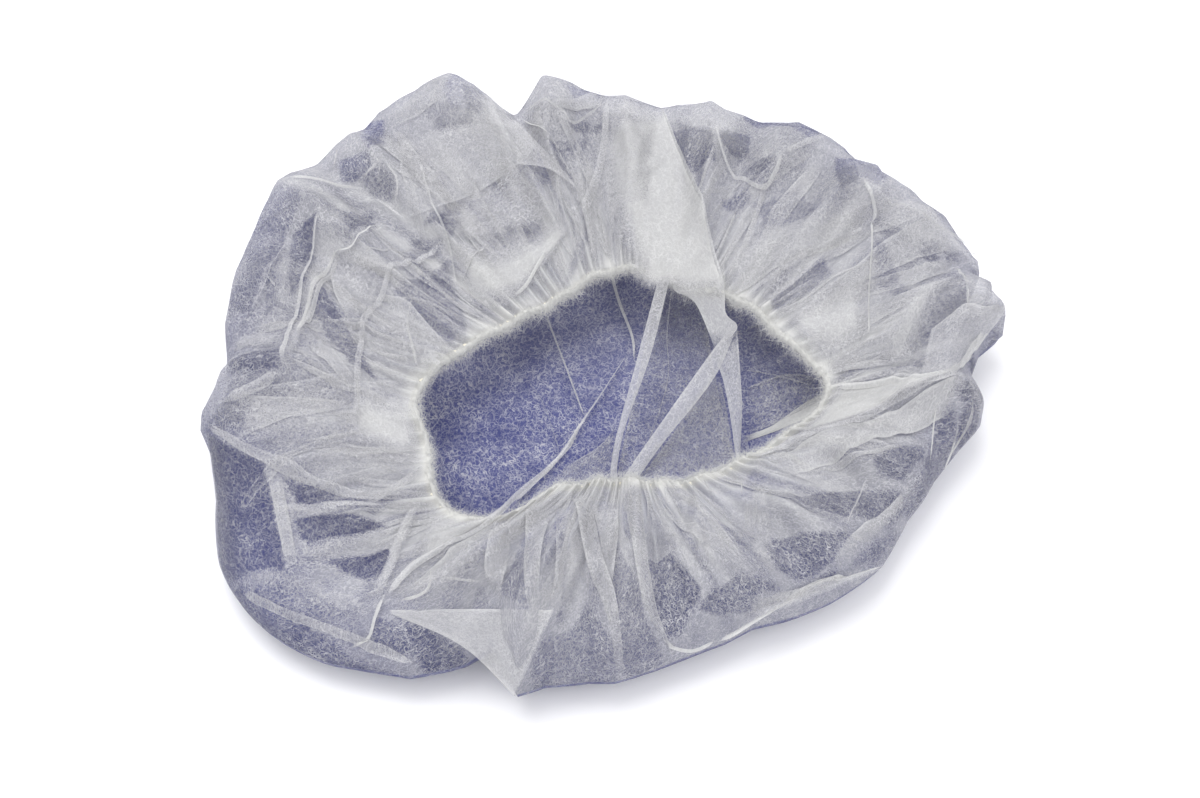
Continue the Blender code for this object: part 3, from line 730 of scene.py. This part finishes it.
def buildCloth():
    # rings from the crown's middle out to the outline, over the ruffle to the hem, and round the
    # elastic; angles run round the bag and the way in runs from ring to ring
    columns = bag["columns"]
    angles = np.arange(columns)[None, :] * 360 / columns
    turn = np.radians(angles)
    radius = cloth["discWidth"] / 2
    crownAlong = 1 - np.linspace(*cloth["crownRadii"], bag["crownRings"])[:, None] ** 2
    outX, outY = outlineAt(angles)
    middleX, middleY = bag["middleRight"], bag["middleBack"]
    x = middleX + crownAlong * (outX - middleX)
    y = middleY + crownAlong * (outY - middleY)
    wall = np.interp(crownAlong, crownSections["along"], crownSections["height"])
    z = bag["sideHeight"] * wall * np.ones_like(x) + cloth["floorGap"]
    x, y = x + shift[0], y + shift[1]
    z = z + crownLift(x, y) * np.clip((crownWrinkles["end"] - crownAlong) * crownWrinkles["fade"], 0, 1)
    crown = np.stack([x, y, z], -1)

    along = np.linspace(0, 1, bag["ruffleRings"])[:, None] ** cloth["ringCrowding"]
    x, y, z = ruffleAt(angles, along)
    x, y = x + shift[0], y + shift[1]
    (leftOut, leftIn), (growOut, growIn) = cloth["creasesLeft"], cloth["creasesGrow"]
    shown = np.clip(along * growOut, leftOut, 1) * np.clip((1.02 - along) * growIn, leftIn, 1)
    inward = np.clip((along - cloth["gatherStart"]) / (1 - cloth["gatherStart"]), 0, 1)
    gather = inward ** cloth["gatherGrowth"] * unevenRound(angles, 3, cloth["gatherWaves"])
    z = z + creaseLift(x, y) * shown + cloth["gatherDepth"] * gather
    ruffle = np.stack([x, y, z], -1)
    # thin places, and painted shade beside folds, both as one share
    thinOrShaded = thinOrShadedShare(x, y)
    streaks = unevenRound(angles + cloth["streakTurn"] * along, 8, cloth["streakWaves"])
    outside = np.interp(angles, *cloth["layersOutside"], period=360)
    layers = outside + (cloth["layersAtRim"] - outside) * along ** cloth["layersGrowth"]
    layers = layers * (1 + cloth["streakDepth"] * streaks * (0.4 + along))
    # the thin places and the painted shade take layers away, which darkens the cloth
    layers = layers * (1 - cloth["thinOrShadeDepth"] * thinOrShaded)
    band = np.interp(angles, *cloth["bandLayers"], period=360)
    layers = layers + band * np.clip((along - 1) / cloth["bandReach"] + 1, 0, 1)

    hemX, hemY, hemZ = elasticAt(angles[0])
    elastic = np.stack([hemX + shift[0], hemY + shift[1], hemZ], -1)
    way = np.roll(elastic, -1, axis=0) - np.roll(elastic, 1, axis=0)
    inwardWay = np.stack([-way[:, 1], way[:, 0], np.zeros(columns)], axis=1)
    inwardWay /= np.linalg.norm(inwardWay, axis=1, keepdims=True)
    turns = np.radians(np.linspace(*hemRoll["turns"], hemRoll["rings"]))[:, None, None]
    change = unevenRound(angles[0], 5, hemRoll["waves"])[None, :, None]
    roll = bag["hemRadius"] * (hemRoll["fullness"] + hemRoll["unevenness"] * change)
    hem = elastic[None] + roll * (np.cos(turns) * inwardWay[None] + np.sin(turns) * np.array([0, 0, 1.0]))
    under = hem[-1] - bag["hemTurnUnder"] * inwardWay
    points = np.concatenate([crown, ruffle, hem, under[None]])
    # a point's place on the flat disc: as far out as the way along the cloth from the crown's middle
    middle = points[0].mean(axis=0)
    steps = np.linalg.norm(np.diff(np.concatenate([np.broadcast_to(middle, (1, columns, 3)), points]),
                                   axis=0), axis=2)
    ringRadius = np.cumsum(steps, axis=0)
    ringRadius = ringRadius * (radius / np.mean(ringRadius[-1]))
    flat = np.stack([ringRadius * np.cos(turn), ringRadius * np.sin(turn)], -1)
    # the hem is thick on top and thins out on its inner side, where the photograph's edge is soft
    hemRings = hemRoll["rings"] + 1
    hemLayers = np.interp(np.arange(hemRings), *hemRoll["layers"])[:, None]
    hemLayers = hemLayers * (1 + hemRoll["layerChange"] * unevenRound(angles, 6, hemRoll["layerWaves"]))
    # the crown's extra layers towards its back are painted light against the rim's shade
    allLayers = np.concatenate([np.interp(crown[..., 1], *cloth["crownLayersWithPaintedLight"]), layers, hemLayers])
    atOutline = np.interp(angles, *cloth["groundAtOutline"], period=360)
    ground = 1 + (cloth["groundOfSide"] - 1) * np.clip((crownAlong - 0.95) / 0.05, 0, 1) + 0 * angles
    kept = 1 - thinOrShaded * np.interp(angles, *cloth["thinOrShadeClearsGround"], period=360)
    lying = np.concatenate([ground, atOutline * np.clip(1 - along / cloth["groundReach"], 0, 1) * kept,
                            np.zeros((hemRings, columns))])
    rows = len(points)
    points = np.concatenate([points.reshape(-1, 3), [middle]])
    flat = np.concatenate([flat.reshape(-1, 2), [[0, 0]]])
    pole = len(points) - 1
    faces = gridFaces(rows, columns, True)[:, ::-1].tolist()
    faces += [(pole, c, (c + 1) % columns) for c in range(columns)]
    values = [np.append(part.ravel(), part.ravel()[0]) for part in (allLayers, lying)]
    return addPiece("cap_cloth_gathered", points, faces, flat, *values, np.zeros(len(points)))


hemFuzz = {
    "seed": 11, "count": 9500, "length": (0.0016, 0.0062), "width": 0.00014, "steps": 5,
    "turn": (15, 55),              # where round the roll a fibre leaves it: mean and spread in degrees
    "lean": 1.0, "curl": 0.8, "droop": (-0.25, 0.5), "narrowing": 0.7, "layers": 5,
    "patternSpread": 3.0,          # its flat place, spread so that every fibre reads its own pattern
}


def buildHemFuzz():
    # loose fibres that stand out of the hem's roll: each leaves the roll at a random turn and bends
    # over with a curl, a flat strip of four steps
    rng = np.random.default_rng(hemFuzz["seed"])
    count, steps = hemFuzz["count"], hemFuzz["steps"]
    angles = rng.uniform(0, 360, count)
    hemX, hemY, hemZ = elasticAt(angles)
    aheadX, aheadY, aheadZ = elasticAt(angles + 0.5)
    way = np.stack([aheadX - hemX, aheadY - hemY, aheadZ - hemZ], -1)
    way /= np.linalg.norm(way, axis=1, keepdims=True)
    inward = np.stack([-way[:, 1], way[:, 0], np.zeros(count)], -1)
    turn = np.radians(rng.normal(*hemFuzz["turn"], count))[:, None]
    out = np.cos(turn) * inward + np.sin(turn) * np.array([0, 0, 1.0])
    start = np.stack([hemX + shift[0], hemY + shift[1], hemZ], -1) + out * bag["hemRadius"] * 0.9
    lean = rng.normal(0, hemFuzz["lean"], (count, 1))
    length = rng.uniform(*hemFuzz["length"], (count, 1)) * rng.uniform(0.4, 1, (count, 1))
    heading = out + lean * way
    heading /= np.linalg.norm(heading, axis=1, keepdims=True)
    curl = rng.normal(0, hemFuzz["curl"], (count, 1)) * way
    curl = curl + rng.normal(*hemFuzz["droop"], (count, 1)) * np.array([0, 0, 1.0])
    share = np.linspace(0, 1, steps)[None, :, None]
    path = start[:, None] + length[:, None] * (heading[:, None] * share + curl[:, None] * share ** 2)
    side = np.cross(heading, np.array([0, -0.5, 0.86]))
    side /= np.linalg.norm(side, axis=1, keepdims=True) + 1e-9
    half = hemFuzz["width"] / 2 * (1 - hemFuzz["narrowing"] * share)
    points = np.stack([path - half * side[:, None], path + half * side[:, None]], axis=2).reshape(-1, 3)
    first = np.arange(count)[:, None] * steps * 2 + np.arange(steps - 1)[None, :] * 2
    faces = np.stack([first, first + 1, first + 3, first + 2], -1).reshape(-1, 4)
    flat = points[:, :2] * hemFuzz["patternSpread"]
    none = np.zeros(len(points))
    return addPiece("cap_cloth_hem_fuzz", points, faces.tolist(), flat, none + hemFuzz["layers"],
                    none, none)


# The crown's wrinkles: heights and a ridge's reach in metres, the way out at which they end, and how
# fast they fade before it
crownWrinkles = {"waviness": 0.0005, "ridge": 0.0014, "ridgeReach": 0.007, "end": 0.95, "fade": 8}


def crownLift(x, y):
    # low wrinkles of the crown: ridges along its strips and a slight waviness
    lift = crownWrinkles["waviness"] * (
        1 + np.sin(x * 90 + 3 * np.sin(y * 55)) * np.sin(y * 110 + 2 * np.sin(x * 70)))
    for line in stripLines.values():
        ridge = np.clip(1 - lineAway(x, y, line)[0] / crownWrinkles["ridgeReach"], 0, 1)
        lift = np.maximum(lift, crownWrinkles["ridge"] * ridge)
    return lift


def crownSurface(x, y):
    # the crown's cloth over the floor, wrinkles and all
    return cloth["floorGap"] + crownLift(x, y)


def stripMesh(line, widthStart, widthEnd, count, lift, tilt, seed):
    # a fold lying on the cloth: a line carried across its width in mm, pointed at both ends
    length = np.linalg.norm(np.diff(line, axis=0), axis=1).sum()
    steps = max(6, int(length / folds["stripStep"]))
    endSharpness = length / max(widthStart, widthEnd, 4.0) * 1000 * 0.9
    path, reach = denseLine(line, steps)
    way = np.gradient(path, axis=0)
    way /= np.linalg.norm(way, axis=1, keepdims=True)
    side = np.stack([-way[:, 1], way[:, 0]], 1)
    share = np.linspace(0, 1, steps)[:, None]
    nearEnd = np.minimum(share, 1 - share)
    half = (widthStart + (widthEnd - widthStart) * share) / 2000 * folds["creaseWidth"]
    half = half * np.clip(nearEnd * endSharpness, 0.04, 1)
    q = np.linspace(-1, 1, folds["stripColumns"])[None, :]
    x = path[:, :1] + q * half * side[:, :1]
    y = path[:, 1:] + q * half * side[:, 1:]
    z = lift + tilt * (0.5 + 0.5 * q) * np.minimum(1, nearEnd * 6)
    flat = np.stack([share * reach + seed * 0.013 % 0.2 + 0 * q, q * half + seed * 0.029 % 0.2], -1)
    fade = np.clip(nearEnd * length / folds["fadeLength"] * 2, 0, 1) + 0 * q
    crest = 0.4 * np.clip((np.abs(q) - 0.72) / 0.28, 0, 1) * fade
    return (np.stack([x, y, z], -1).reshape(-1, 3), gridFaces(steps, folds["stripColumns"], False),
            flat.reshape(-1, 2), count * fade.ravel(), crest.ravel())


def panelMesh(edgeA, edgeB, count, soft, lift, swellHeight, seed, fadeLength):
    # a panel ruled between its two long edges and swelling a little between them
    length = max(np.linalg.norm(np.diff(edge, axis=0), axis=1).sum() for edge in (edgeA, edgeB))
    steps = max(8, int(length / folds["panelStep"]))
    (pathA, reachA), (pathB, reachB) = denseLine(edgeA, steps), denseLine(edgeB, steps)
    widths = np.linalg.norm(pathA - pathB, axis=1)[:, None]
    across = max(7, int(widths.max() / folds["panelStep"]))
    q = np.linspace(0, 1, across)[None, :, None]
    place = pathA[:, None] * (1 - q) + pathB[:, None] * q
    x, y = place[..., 0], place[..., 1]
    share = np.linspace(0, 1, steps)[:, None]
    nearEnd = np.minimum(share, 1 - share)
    q = q[..., 0]
    swell = np.sqrt(np.clip(4 * q * (1 - q), 0, 1)) * np.clip(6 * nearEnd, 0, 1)
    z = lift + swellHeight * swell + (place[..., 2] if place.shape[2] == 3 else 0)
    flat = np.stack([share * reachA + seed * 0.017 % 0.2 + 0 * q,
                     q * widths.max() + seed * 0.031 % 0.2 + 0 * share], -1)
    fade = np.clip(nearEnd * length / fadeLength, 0, 1)
    softA, softB, softStart = (*soft, 0, 0, 0)[:3]
    for way, part in ((q, softA), (1 - q, softB), (share, softStart)):
        fade = fade * np.clip((way + 1e-6) / (part + 1e-6), 0, 1)
    crest = 0.5 * np.clip(1 - np.minimum(q, 1 - q) * widths / folds["panelStep"], 0, 1) * fade
    return (np.stack([x, y, z], -1).reshape(-1, 3), gridFaces(steps, across, False),
            flat.reshape(-1, 2), count * fade.ravel(), crest.ravel())


# Pleats at the rim: where short and long ones start and end on the way in, their widths in degrees and
# how far they lean
gatherPleats = {
    "seed": 21, "short": 230, "long": 60, "flipped": 0.45, "layers": [1, 1, 2],
    "shortPleat": ((0.93, 1.0), (0.4, 0.85), (0.8, 3.0), 3),
    "longPleat": ((0.6, 1.0), (0.15, 0.5), (2.0, 6.5), 7),
}


def scatterPleats():
    # knife pleats that start at the hem: narrow wedges running out over the ruffle at random angles,
    # many short ones that make the gathers and a few long ones; each as two edges in plan
    rng = np.random.default_rng(gatherPleats["seed"])
    count = gatherPleats["short"] + gatherPleats["long"]
    isLong = np.arange(count) >= gatherPleats["short"]
    angles = rng.uniform(0, 360, count)
    *ranges, leans = zip(gatherPleats["longPleat"], gatherPleats["shortPleat"])
    inner, outer, wide = (np.where(isLong, *(rng.uniform(*span, count) for span in spans))
                          for spans in ranges)
    narrow = wide * rng.uniform(0.1, 0.6, count)
    lean = rng.normal(0, 1, count) * np.where(isLong, *leans)
    flip = rng.random(count) < gatherPleats["flipped"]
    edges = []
    for side in (-1, 1):
        start = np.where(flip, narrow, wide) / 2 * side
        end = np.where(flip, wide, narrow) / 2 * side
        steps = [ruffleAt(angles + start * 0.8, inner),
                 ruffleAt(angles + (start + end) * 0.5 + lean * 0.5, (inner + outer) / 2),
                 ruffleAt(angles + end + lean, outer)]
        edges.append(np.stack([np.stack([x, y], -1) for x, y, z in steps], axis=1) + shift)
    return list(zip(*edges, rng.choice(gatherPleats["layers"], count)))


def joinSheets(name, sheets, heightAt, thinnedOrShaded=False):
    # many folds or panels as one mesh, laid over the cloth whose height is given
    starts = np.cumsum([0] + [len(sheet[0]) for sheet in sheets])
    points, faces, flat, layers, crest = (np.concatenate(part) for part in zip(*sheets))
    faces = faces + np.repeat(starts[:-1], [len(sheet[1]) for sheet in sheets])[:, None]
    points[:, 2] += heightAt(points[:, 0], points[:, 1])
    # pleats lose layers in the thin places and under the painted shade as well
    if thinnedOrShaded:
        layers = layers * (1 - cloth["thinOrShadeDepth"] * thinOrShadedShare(points[:, 0], points[:, 1]))
    return addPiece(name, points, faces.tolist(), flat, layers, 0 * layers, crest)


def joinPanels(name, panels, heightAt, lift, thinnedOrShaded=False, fadeLength=folds["fadeLength"]):
    # panels as one mesh, at five heights in turn so that none lies in another
    sheets = [panelMesh(edgeA, edgeB, count, soft, lift * (0.6 + number % 5 * 0.3), lift, number,
                        fadeLength)
              for number, (edgeA, edgeB, count, *soft) in enumerate(panels)]
    return joinSheets(name, sheets, heightAt, thinnedOrShaded)


def joinStrips(name, strips, lines, heightAt, lift, tilt):
    # folds as one mesh, every other one tilted the other way
    sheets = [stripMesh(lines[key], strip[1], strip[2], strip[-1], lift + tilt * (number % 2 == 0),
                        tilt * (1 if number % 2 else -1), number)
              for number, (key, strip) in enumerate(strips.items())]
    return joinSheets(name, sheets, heightAt)


def linear(hexColour):
    # an sRGB hex colour as linear light
    channels = np.array([int(hexColour[i:i + 2], 16) for i in (1, 3, 5)]) / 255
    light = np.where(channels <= 0.04045, channels / 12.92, ((channels + 0.055) / 1.055) ** 2.4)
    return (*light, 1.0)


def addNode(tree, kind, inputs, out=0, **settings):
    # a node with its settings, and what feeds its sockets: another node's output or a plain value
    node = tree.nodes.new("ShaderNode" + kind)
    for key, value in settings.items():
        setattr(node, key, value)
    for key, value in inputs.items():
        if isinstance(value, bpy.types.NodeSocket):
            tree.links.new(value, node.inputs[key])
        else:
            node.inputs[key].default_value = value
    return node.outputs[out]


nonwoven = {
    # fibres on their own and packed in the hem, and the blue-violet ground from dark to light
    "fibreColour": "#B9B9BC", "hemColour": "#C8C8C6", "filmDark": "#1E2560", "filmLight": "#30387A",
    # one layer's haze, the size in mm and the density of its clouds, and the cover that many layers
    # even out to and how fast
    "haze": 0.10, "cloudSize": 14.0, "cloudDensity": (0.55, 1.15), "meanCover": 0.26, "evening": -1.1,
    "packedLayers": (2.0, 6.5),    # from how many layers to how many the hem's colour takes over
    # nets of fibres: spacing, line width and wandering in mm, and how much light a fibre stops
    "nets": ((3.9, 0.42, 7.0, 0.66), (2.1, 0.30, 4.0, 0.45)),
    # bundles of fibres that run side by side: spacing of the curls in mm, lines in each, width as a share
    "bundles": ((3.0, 7.0, 0.11, 0.48),),
}


def nonwovenMaterial():
    # spunbond polypropylene: endless white fibres laid at random and spot-bonded, so thin that a
    # single layer is a haze of curly lines, and white only where layers lie on each other; the
    # fibres are drawn about twenty times as coarse as real ones, so that they show in the picture
    material = bpy.data.materials.new("spunbondPolypropylene")
    material.use_nodes = True
    tree = material.node_tree
    shader = tree.nodes["Principled BSDF"]
    flat = addNode(tree, "UVMap", {}, uv_map="flatCloth")
    size = cloth["discWidth"] * 1000
    place = addNode(tree, "VectorMath", {0: flat, "Scale": size}, operation="SCALE")
    for number, (spacing, width, wander, strength) in enumerate(nonwoven["nets"]):
        moved = addNode(tree, "VectorMath", {0: place, 1: (13.0 * number + 3, 29.0 * number, 0)},
                        operation="ADD")
        curl = addNode(tree, "TexNoise", {"Vector": moved, "Scale": 1.3 / spacing, "Detail": 1.0},
                       out=1, noise_dimensions="2D")
        bent = addNode(tree, "VectorMath", {0: curl, 1: (wander, wander, 0), 2: moved},
                       operation="MULTIPLY_ADD")
        edge = addNode(tree, "TexVoronoi", {"Vector": bent, "Scale": 1 / spacing},
                       voronoi_dimensions="2D", feature="DISTANCE_TO_EDGE")
        half = width / 2 / spacing
        line = addNode(tree, "MapRange", {0: edge, 1: half * 1.5, 2: half * 0.4, 3: 0.0, 4: strength},
                       interpolation_type="SMOOTHSTEP")
        if number:
            line = addNode(tree, "Math", {0: single, 1: line}, operation="MAXIMUM")
        single = line
    for number, (spacing, lines, width, strength) in enumerate(nonwoven["bundles"]):
        moved = addNode(tree, "VectorMath", {0: place, 1: (51.0 + 17 * number, 7.0, 0)}, operation="ADD")
        field = addNode(tree, "TexNoise", {"Vector": moved, "Scale": 1 / spacing, "Detail": 1.0,
                                           "Distortion": 1.0}, noise_dimensions="2D")
        steps = addNode(tree, "Math", {0: field, 1: lines}, operation="MULTIPLY")
        fold = addNode(tree, "Math", {0: steps, 1: 1.0}, operation="PINGPONG")
        line = addNode(tree, "MapRange", {0: fold, 1: width * 2, 2: width * 0.6, 3: 0.0, 4: strength},
                       interpolation_type="SMOOTHSTEP")
        single = addNode(tree, "Math", {0: single, 1: line}, operation="MAXIMUM")
    cloud = addNode(tree, "TexNoise", {"Vector": place, "Scale": 1 / nonwoven["cloudSize"],
                                       "Detail": 3.0, "Roughness": 0.6}, noise_dimensions="2D")
    thinnest, densest = nonwoven["cloudDensity"]
    density = addNode(tree, "MapRange", {0: cloud, 1: 0.3, 2: 0.7, 3: thinnest, 4: densest})
    haze = addNode(tree, "Math", {0: density, 1: nonwoven["haze"]}, operation="MULTIPLY")
    single = addNode(tree, "Math", {0: single, 1: density}, operation="MULTIPLY")
    single = addNode(tree, "Math", {0: single, 1: haze}, operation="MAXIMUM")
    layers, lying, crest = (addNode(tree, "Attribute", {}, out="Fac", attribute_name=name)
                            for name in ("layers", "lying", "crest"))
    # what n layers let through is what one lets through to the power n
    count = addNode(tree, "Math", {0: crest, 1: 2.0, 2: layers}, operation="MULTIPLY_ADD")
    # layers lie askew on each other, so their fibres even out: the contrast falls with their number
    evening = addNode(tree, "Math", {0: count, 1: nonwoven["evening"]}, operation="POWER")
    single = addNode(tree, "Mix", {0: evening, 2: nonwoven["meanCover"], 3: single}, data_type="FLOAT")
    clear = addNode(tree, "Math", {0: 1.0, 1: single}, operation="SUBTRACT", use_clamp=True)
    gaps = addNode(tree, "Math", {0: clear, 1: count}, operation="POWER")
    cover = addNode(tree, "Math", {0: 1.0, 1: gaps}, operation="SUBTRACT", use_clamp=True)
    # cloth that lies flat has its blue-violet ground behind the fibres, and standing cloth is clear
    ground = addNode(tree, "Math", {0: gaps, 1: lying}, operation="MULTIPLY")
    alpha = addNode(tree, "Math", {0: cover, 1: ground}, operation="ADD", use_clamp=True)
    most = addNode(tree, "Math", {0: alpha, 1: 0.001}, operation="MAXIMUM")
    white = addNode(tree, "Math", {0: cover, 1: most}, operation="DIVIDE", use_clamp=True)
    film = addNode(tree, "Mix", {0: cloud, 6: linear(nonwoven["filmDark"]),
                                 7: linear(nonwoven["filmLight"])}, out=2, data_type="RGBA")
    fewLayers, manyLayers = nonwoven["packedLayers"]
    packed = addNode(tree, "MapRange", {0: count, 1: fewLayers, 2: manyLayers, 3: 0.0, 4: 1.0})
    fibre = addNode(tree, "Mix", {0: packed, 6: linear(nonwoven["fibreColour"]),
                                  7: linear(nonwoven["hemColour"])}, out=2, data_type="RGBA")
    colour = addNode(tree, "Mix", {0: white, 6: film, 7: fibre}, out=2, data_type="RGBA")
    tree.links.new(colour, shader.inputs["Base Color"])
    tree.links.new(alpha, shader.inputs["Alpha"])
    shader.inputs["Roughness"].default_value = 0.75
    shader.inputs["Specular IOR Level"].default_value = 0.3
    return material


# The elastic's cover: its two colours, the wrap's scale, and the bump's strength and depth in metres
elasticCover = {"dark": "#C9C4B4", "light": "#F1EDE0", "wrapScale": 2500.0, "bump": (0.5, 0.0002)}


def elasticMaterial():
    # covered elastic: rubber threads wound with cotton, cream and matte with a fine wrap
    material = bpy.data.materials.new("coveredElastic")
    material.use_nodes = True
    tree = material.node_tree
    shader = tree.nodes["Principled BSDF"]
    place = addNode(tree, "TexCoord", {}, out="Object")
    wrap = addNode(tree, "TexNoise", {"Vector": place, "Scale": elasticCover["wrapScale"], "Detail": 2.0})
    colour = addNode(tree, "Mix", {0: wrap, 6: linear(elasticCover["dark"]),
                                   7: linear(elasticCover["light"])}, out=2, data_type="RGBA")
    strength, distance = elasticCover["bump"]
    bump = addNode(tree, "Bump", {"Strength": strength, "Distance": distance, "Height": wrap})
    tree.links.new(colour, shader.inputs["Base Color"])
    tree.links.new(bump, shader.inputs["Normal"])
    shader.inputs["Roughness"].default_value = 0.7
    return material


# Floor and lights: each lamp's power in watts, its size and its place in metres
studio = {
    "floorColour": "#F4F4F6", "floorReach": 6.0, "worldLight": 1.0,
    "lamps": {"keyLight": (14.0, 0.9, (-0.3, 0.2, 1.4)), "fillLight": (5.0, 1.2, (0.9, -0.7, 1.1))},
}


def buildStudio():
    # a plain pale floor, a soft key light from the back left and a weaker one from the front right
    reach = studio["floorReach"]
    mesh = bpy.data.meshes.new("floor")
    mesh.from_pydata([(-reach, -reach, 0), (reach, -reach, 0), (reach, reach, 0), (-reach, reach, 0)],
                     [], [(0, 1, 2, 3)])
    floor = bpy.data.objects.new("floor", mesh)
    bpy.context.scene.collection.objects.link(floor)
    paper = bpy.data.materials.new("matteFloor")
    paper.use_nodes = True
    shader = paper.node_tree.nodes["Principled BSDF"]
    shader.inputs["Base Color"].default_value = linear(studio["floorColour"])
    shader.inputs["Roughness"].default_value = 0.9
    mesh.materials.append(paper)
    world = bpy.data.worlds.new("softStudio")
    bpy.context.scene.world = world
    world.use_nodes = True
    sky = world.node_tree.nodes["Background"]
    sky.inputs["Color"].default_value = (1, 1, 1, 1)
    sky.inputs["Strength"].default_value = studio["worldLight"]
    for name, (power, size, place) in studio["lamps"].items():
        lamp = bpy.data.lights.new(name, "AREA")
        lamp.energy = power
        lamp.size = size
        light = bpy.data.objects.new(name, lamp)
        light.location = place
        aim = -np.array(place)
        light.rotation_euler = (math.acos(-aim[2] / np.linalg.norm(aim)), 0,
                                math.atan2(aim[0], -aim[1]) + math.pi)
        bpy.context.scene.collection.objects.link(light)


def buildCamera():
    # a level camera at the photograph's angle, aimed at the bag
    back, up, eye = cameraFrame()
    camera = bpy.data.objects.new("camera", bpy.data.cameras.new("camera"))
    camera.data.lens = view["lens"]
    camera.data.sensor_width = view["sensor"]
    camera.location = eye
    camera.rotation_euler = (math.radians(90 - view["elevation"]), 0, 0)
    bpy.context.scene.collection.objects.link(camera)
    bpy.context.scene.camera = camera


buildCamera()
buildStudio()
print("studio built")
scene = bpy.context.scene
scene.view_settings.view_transform = "Standard"
scene.cycles.transparent_max_bounces = 40

spunbond = nonwovenMaterial()
gathered = buildCloth()
print("cloth built", len(gathered.data.polygons))
ruffleStrips = joinStrips("cap_cloth_ruffle_creases", photoFolds, foldLines, ruffleHeight, *folds["strips"])
rufflePanels = joinPanels("cap_cloth_ruffle_panels", readPanels(photoPanels, plainHeight), ruffleHeight,
                          folds["panels"])
flapEdges = [(flapEdge(a), flapEdge(b), count, *softEdges.get(name, ()))
             for name, (a, b, count) in photoFlaps.items()]
ruffleFlaps = joinPanels("cap_cloth_ruffle_flaps", flapEdges, atRest, folds["flaps"],
                         fadeLength=folds["flapFade"])
rimPleats = joinPanels("cap_cloth_rim_pleats", scatterPleats(), ruffleHeight, folds["pleats"], thinnedOrShaded=True)
pressedPanels = joinPanels("cap_cloth_crown_panels", readPanels(crownPanels, crownHeight), crownSurface,
                           folds["crownPanels"])
tailCloth = joinPanels("cap_cloth_opening_fold", readPanels(tailPanels, tailHeight), tailHeight,
                       folds["tail"])
crownFolds = joinStrips("cap_cloth_crown_folds", crownStrips, stripLines, crownSurface,
                        *folds["crownStrips"])
fuzz = buildHemFuzz()
print("folds built", len(ruffleStrips.data.polygons))
folded = [ruffleStrips, rufflePanels, ruffleFlaps, rimPleats, pressedPanels, tailCloth, crownFolds, fuzz]
for piece in [gathered] + folded:
    piece.data.materials.append(spunbond)
    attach(piece, "root")
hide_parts("cap_cloth")
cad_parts["elastic_ring"].material_slots[0].material = elasticMaterial()
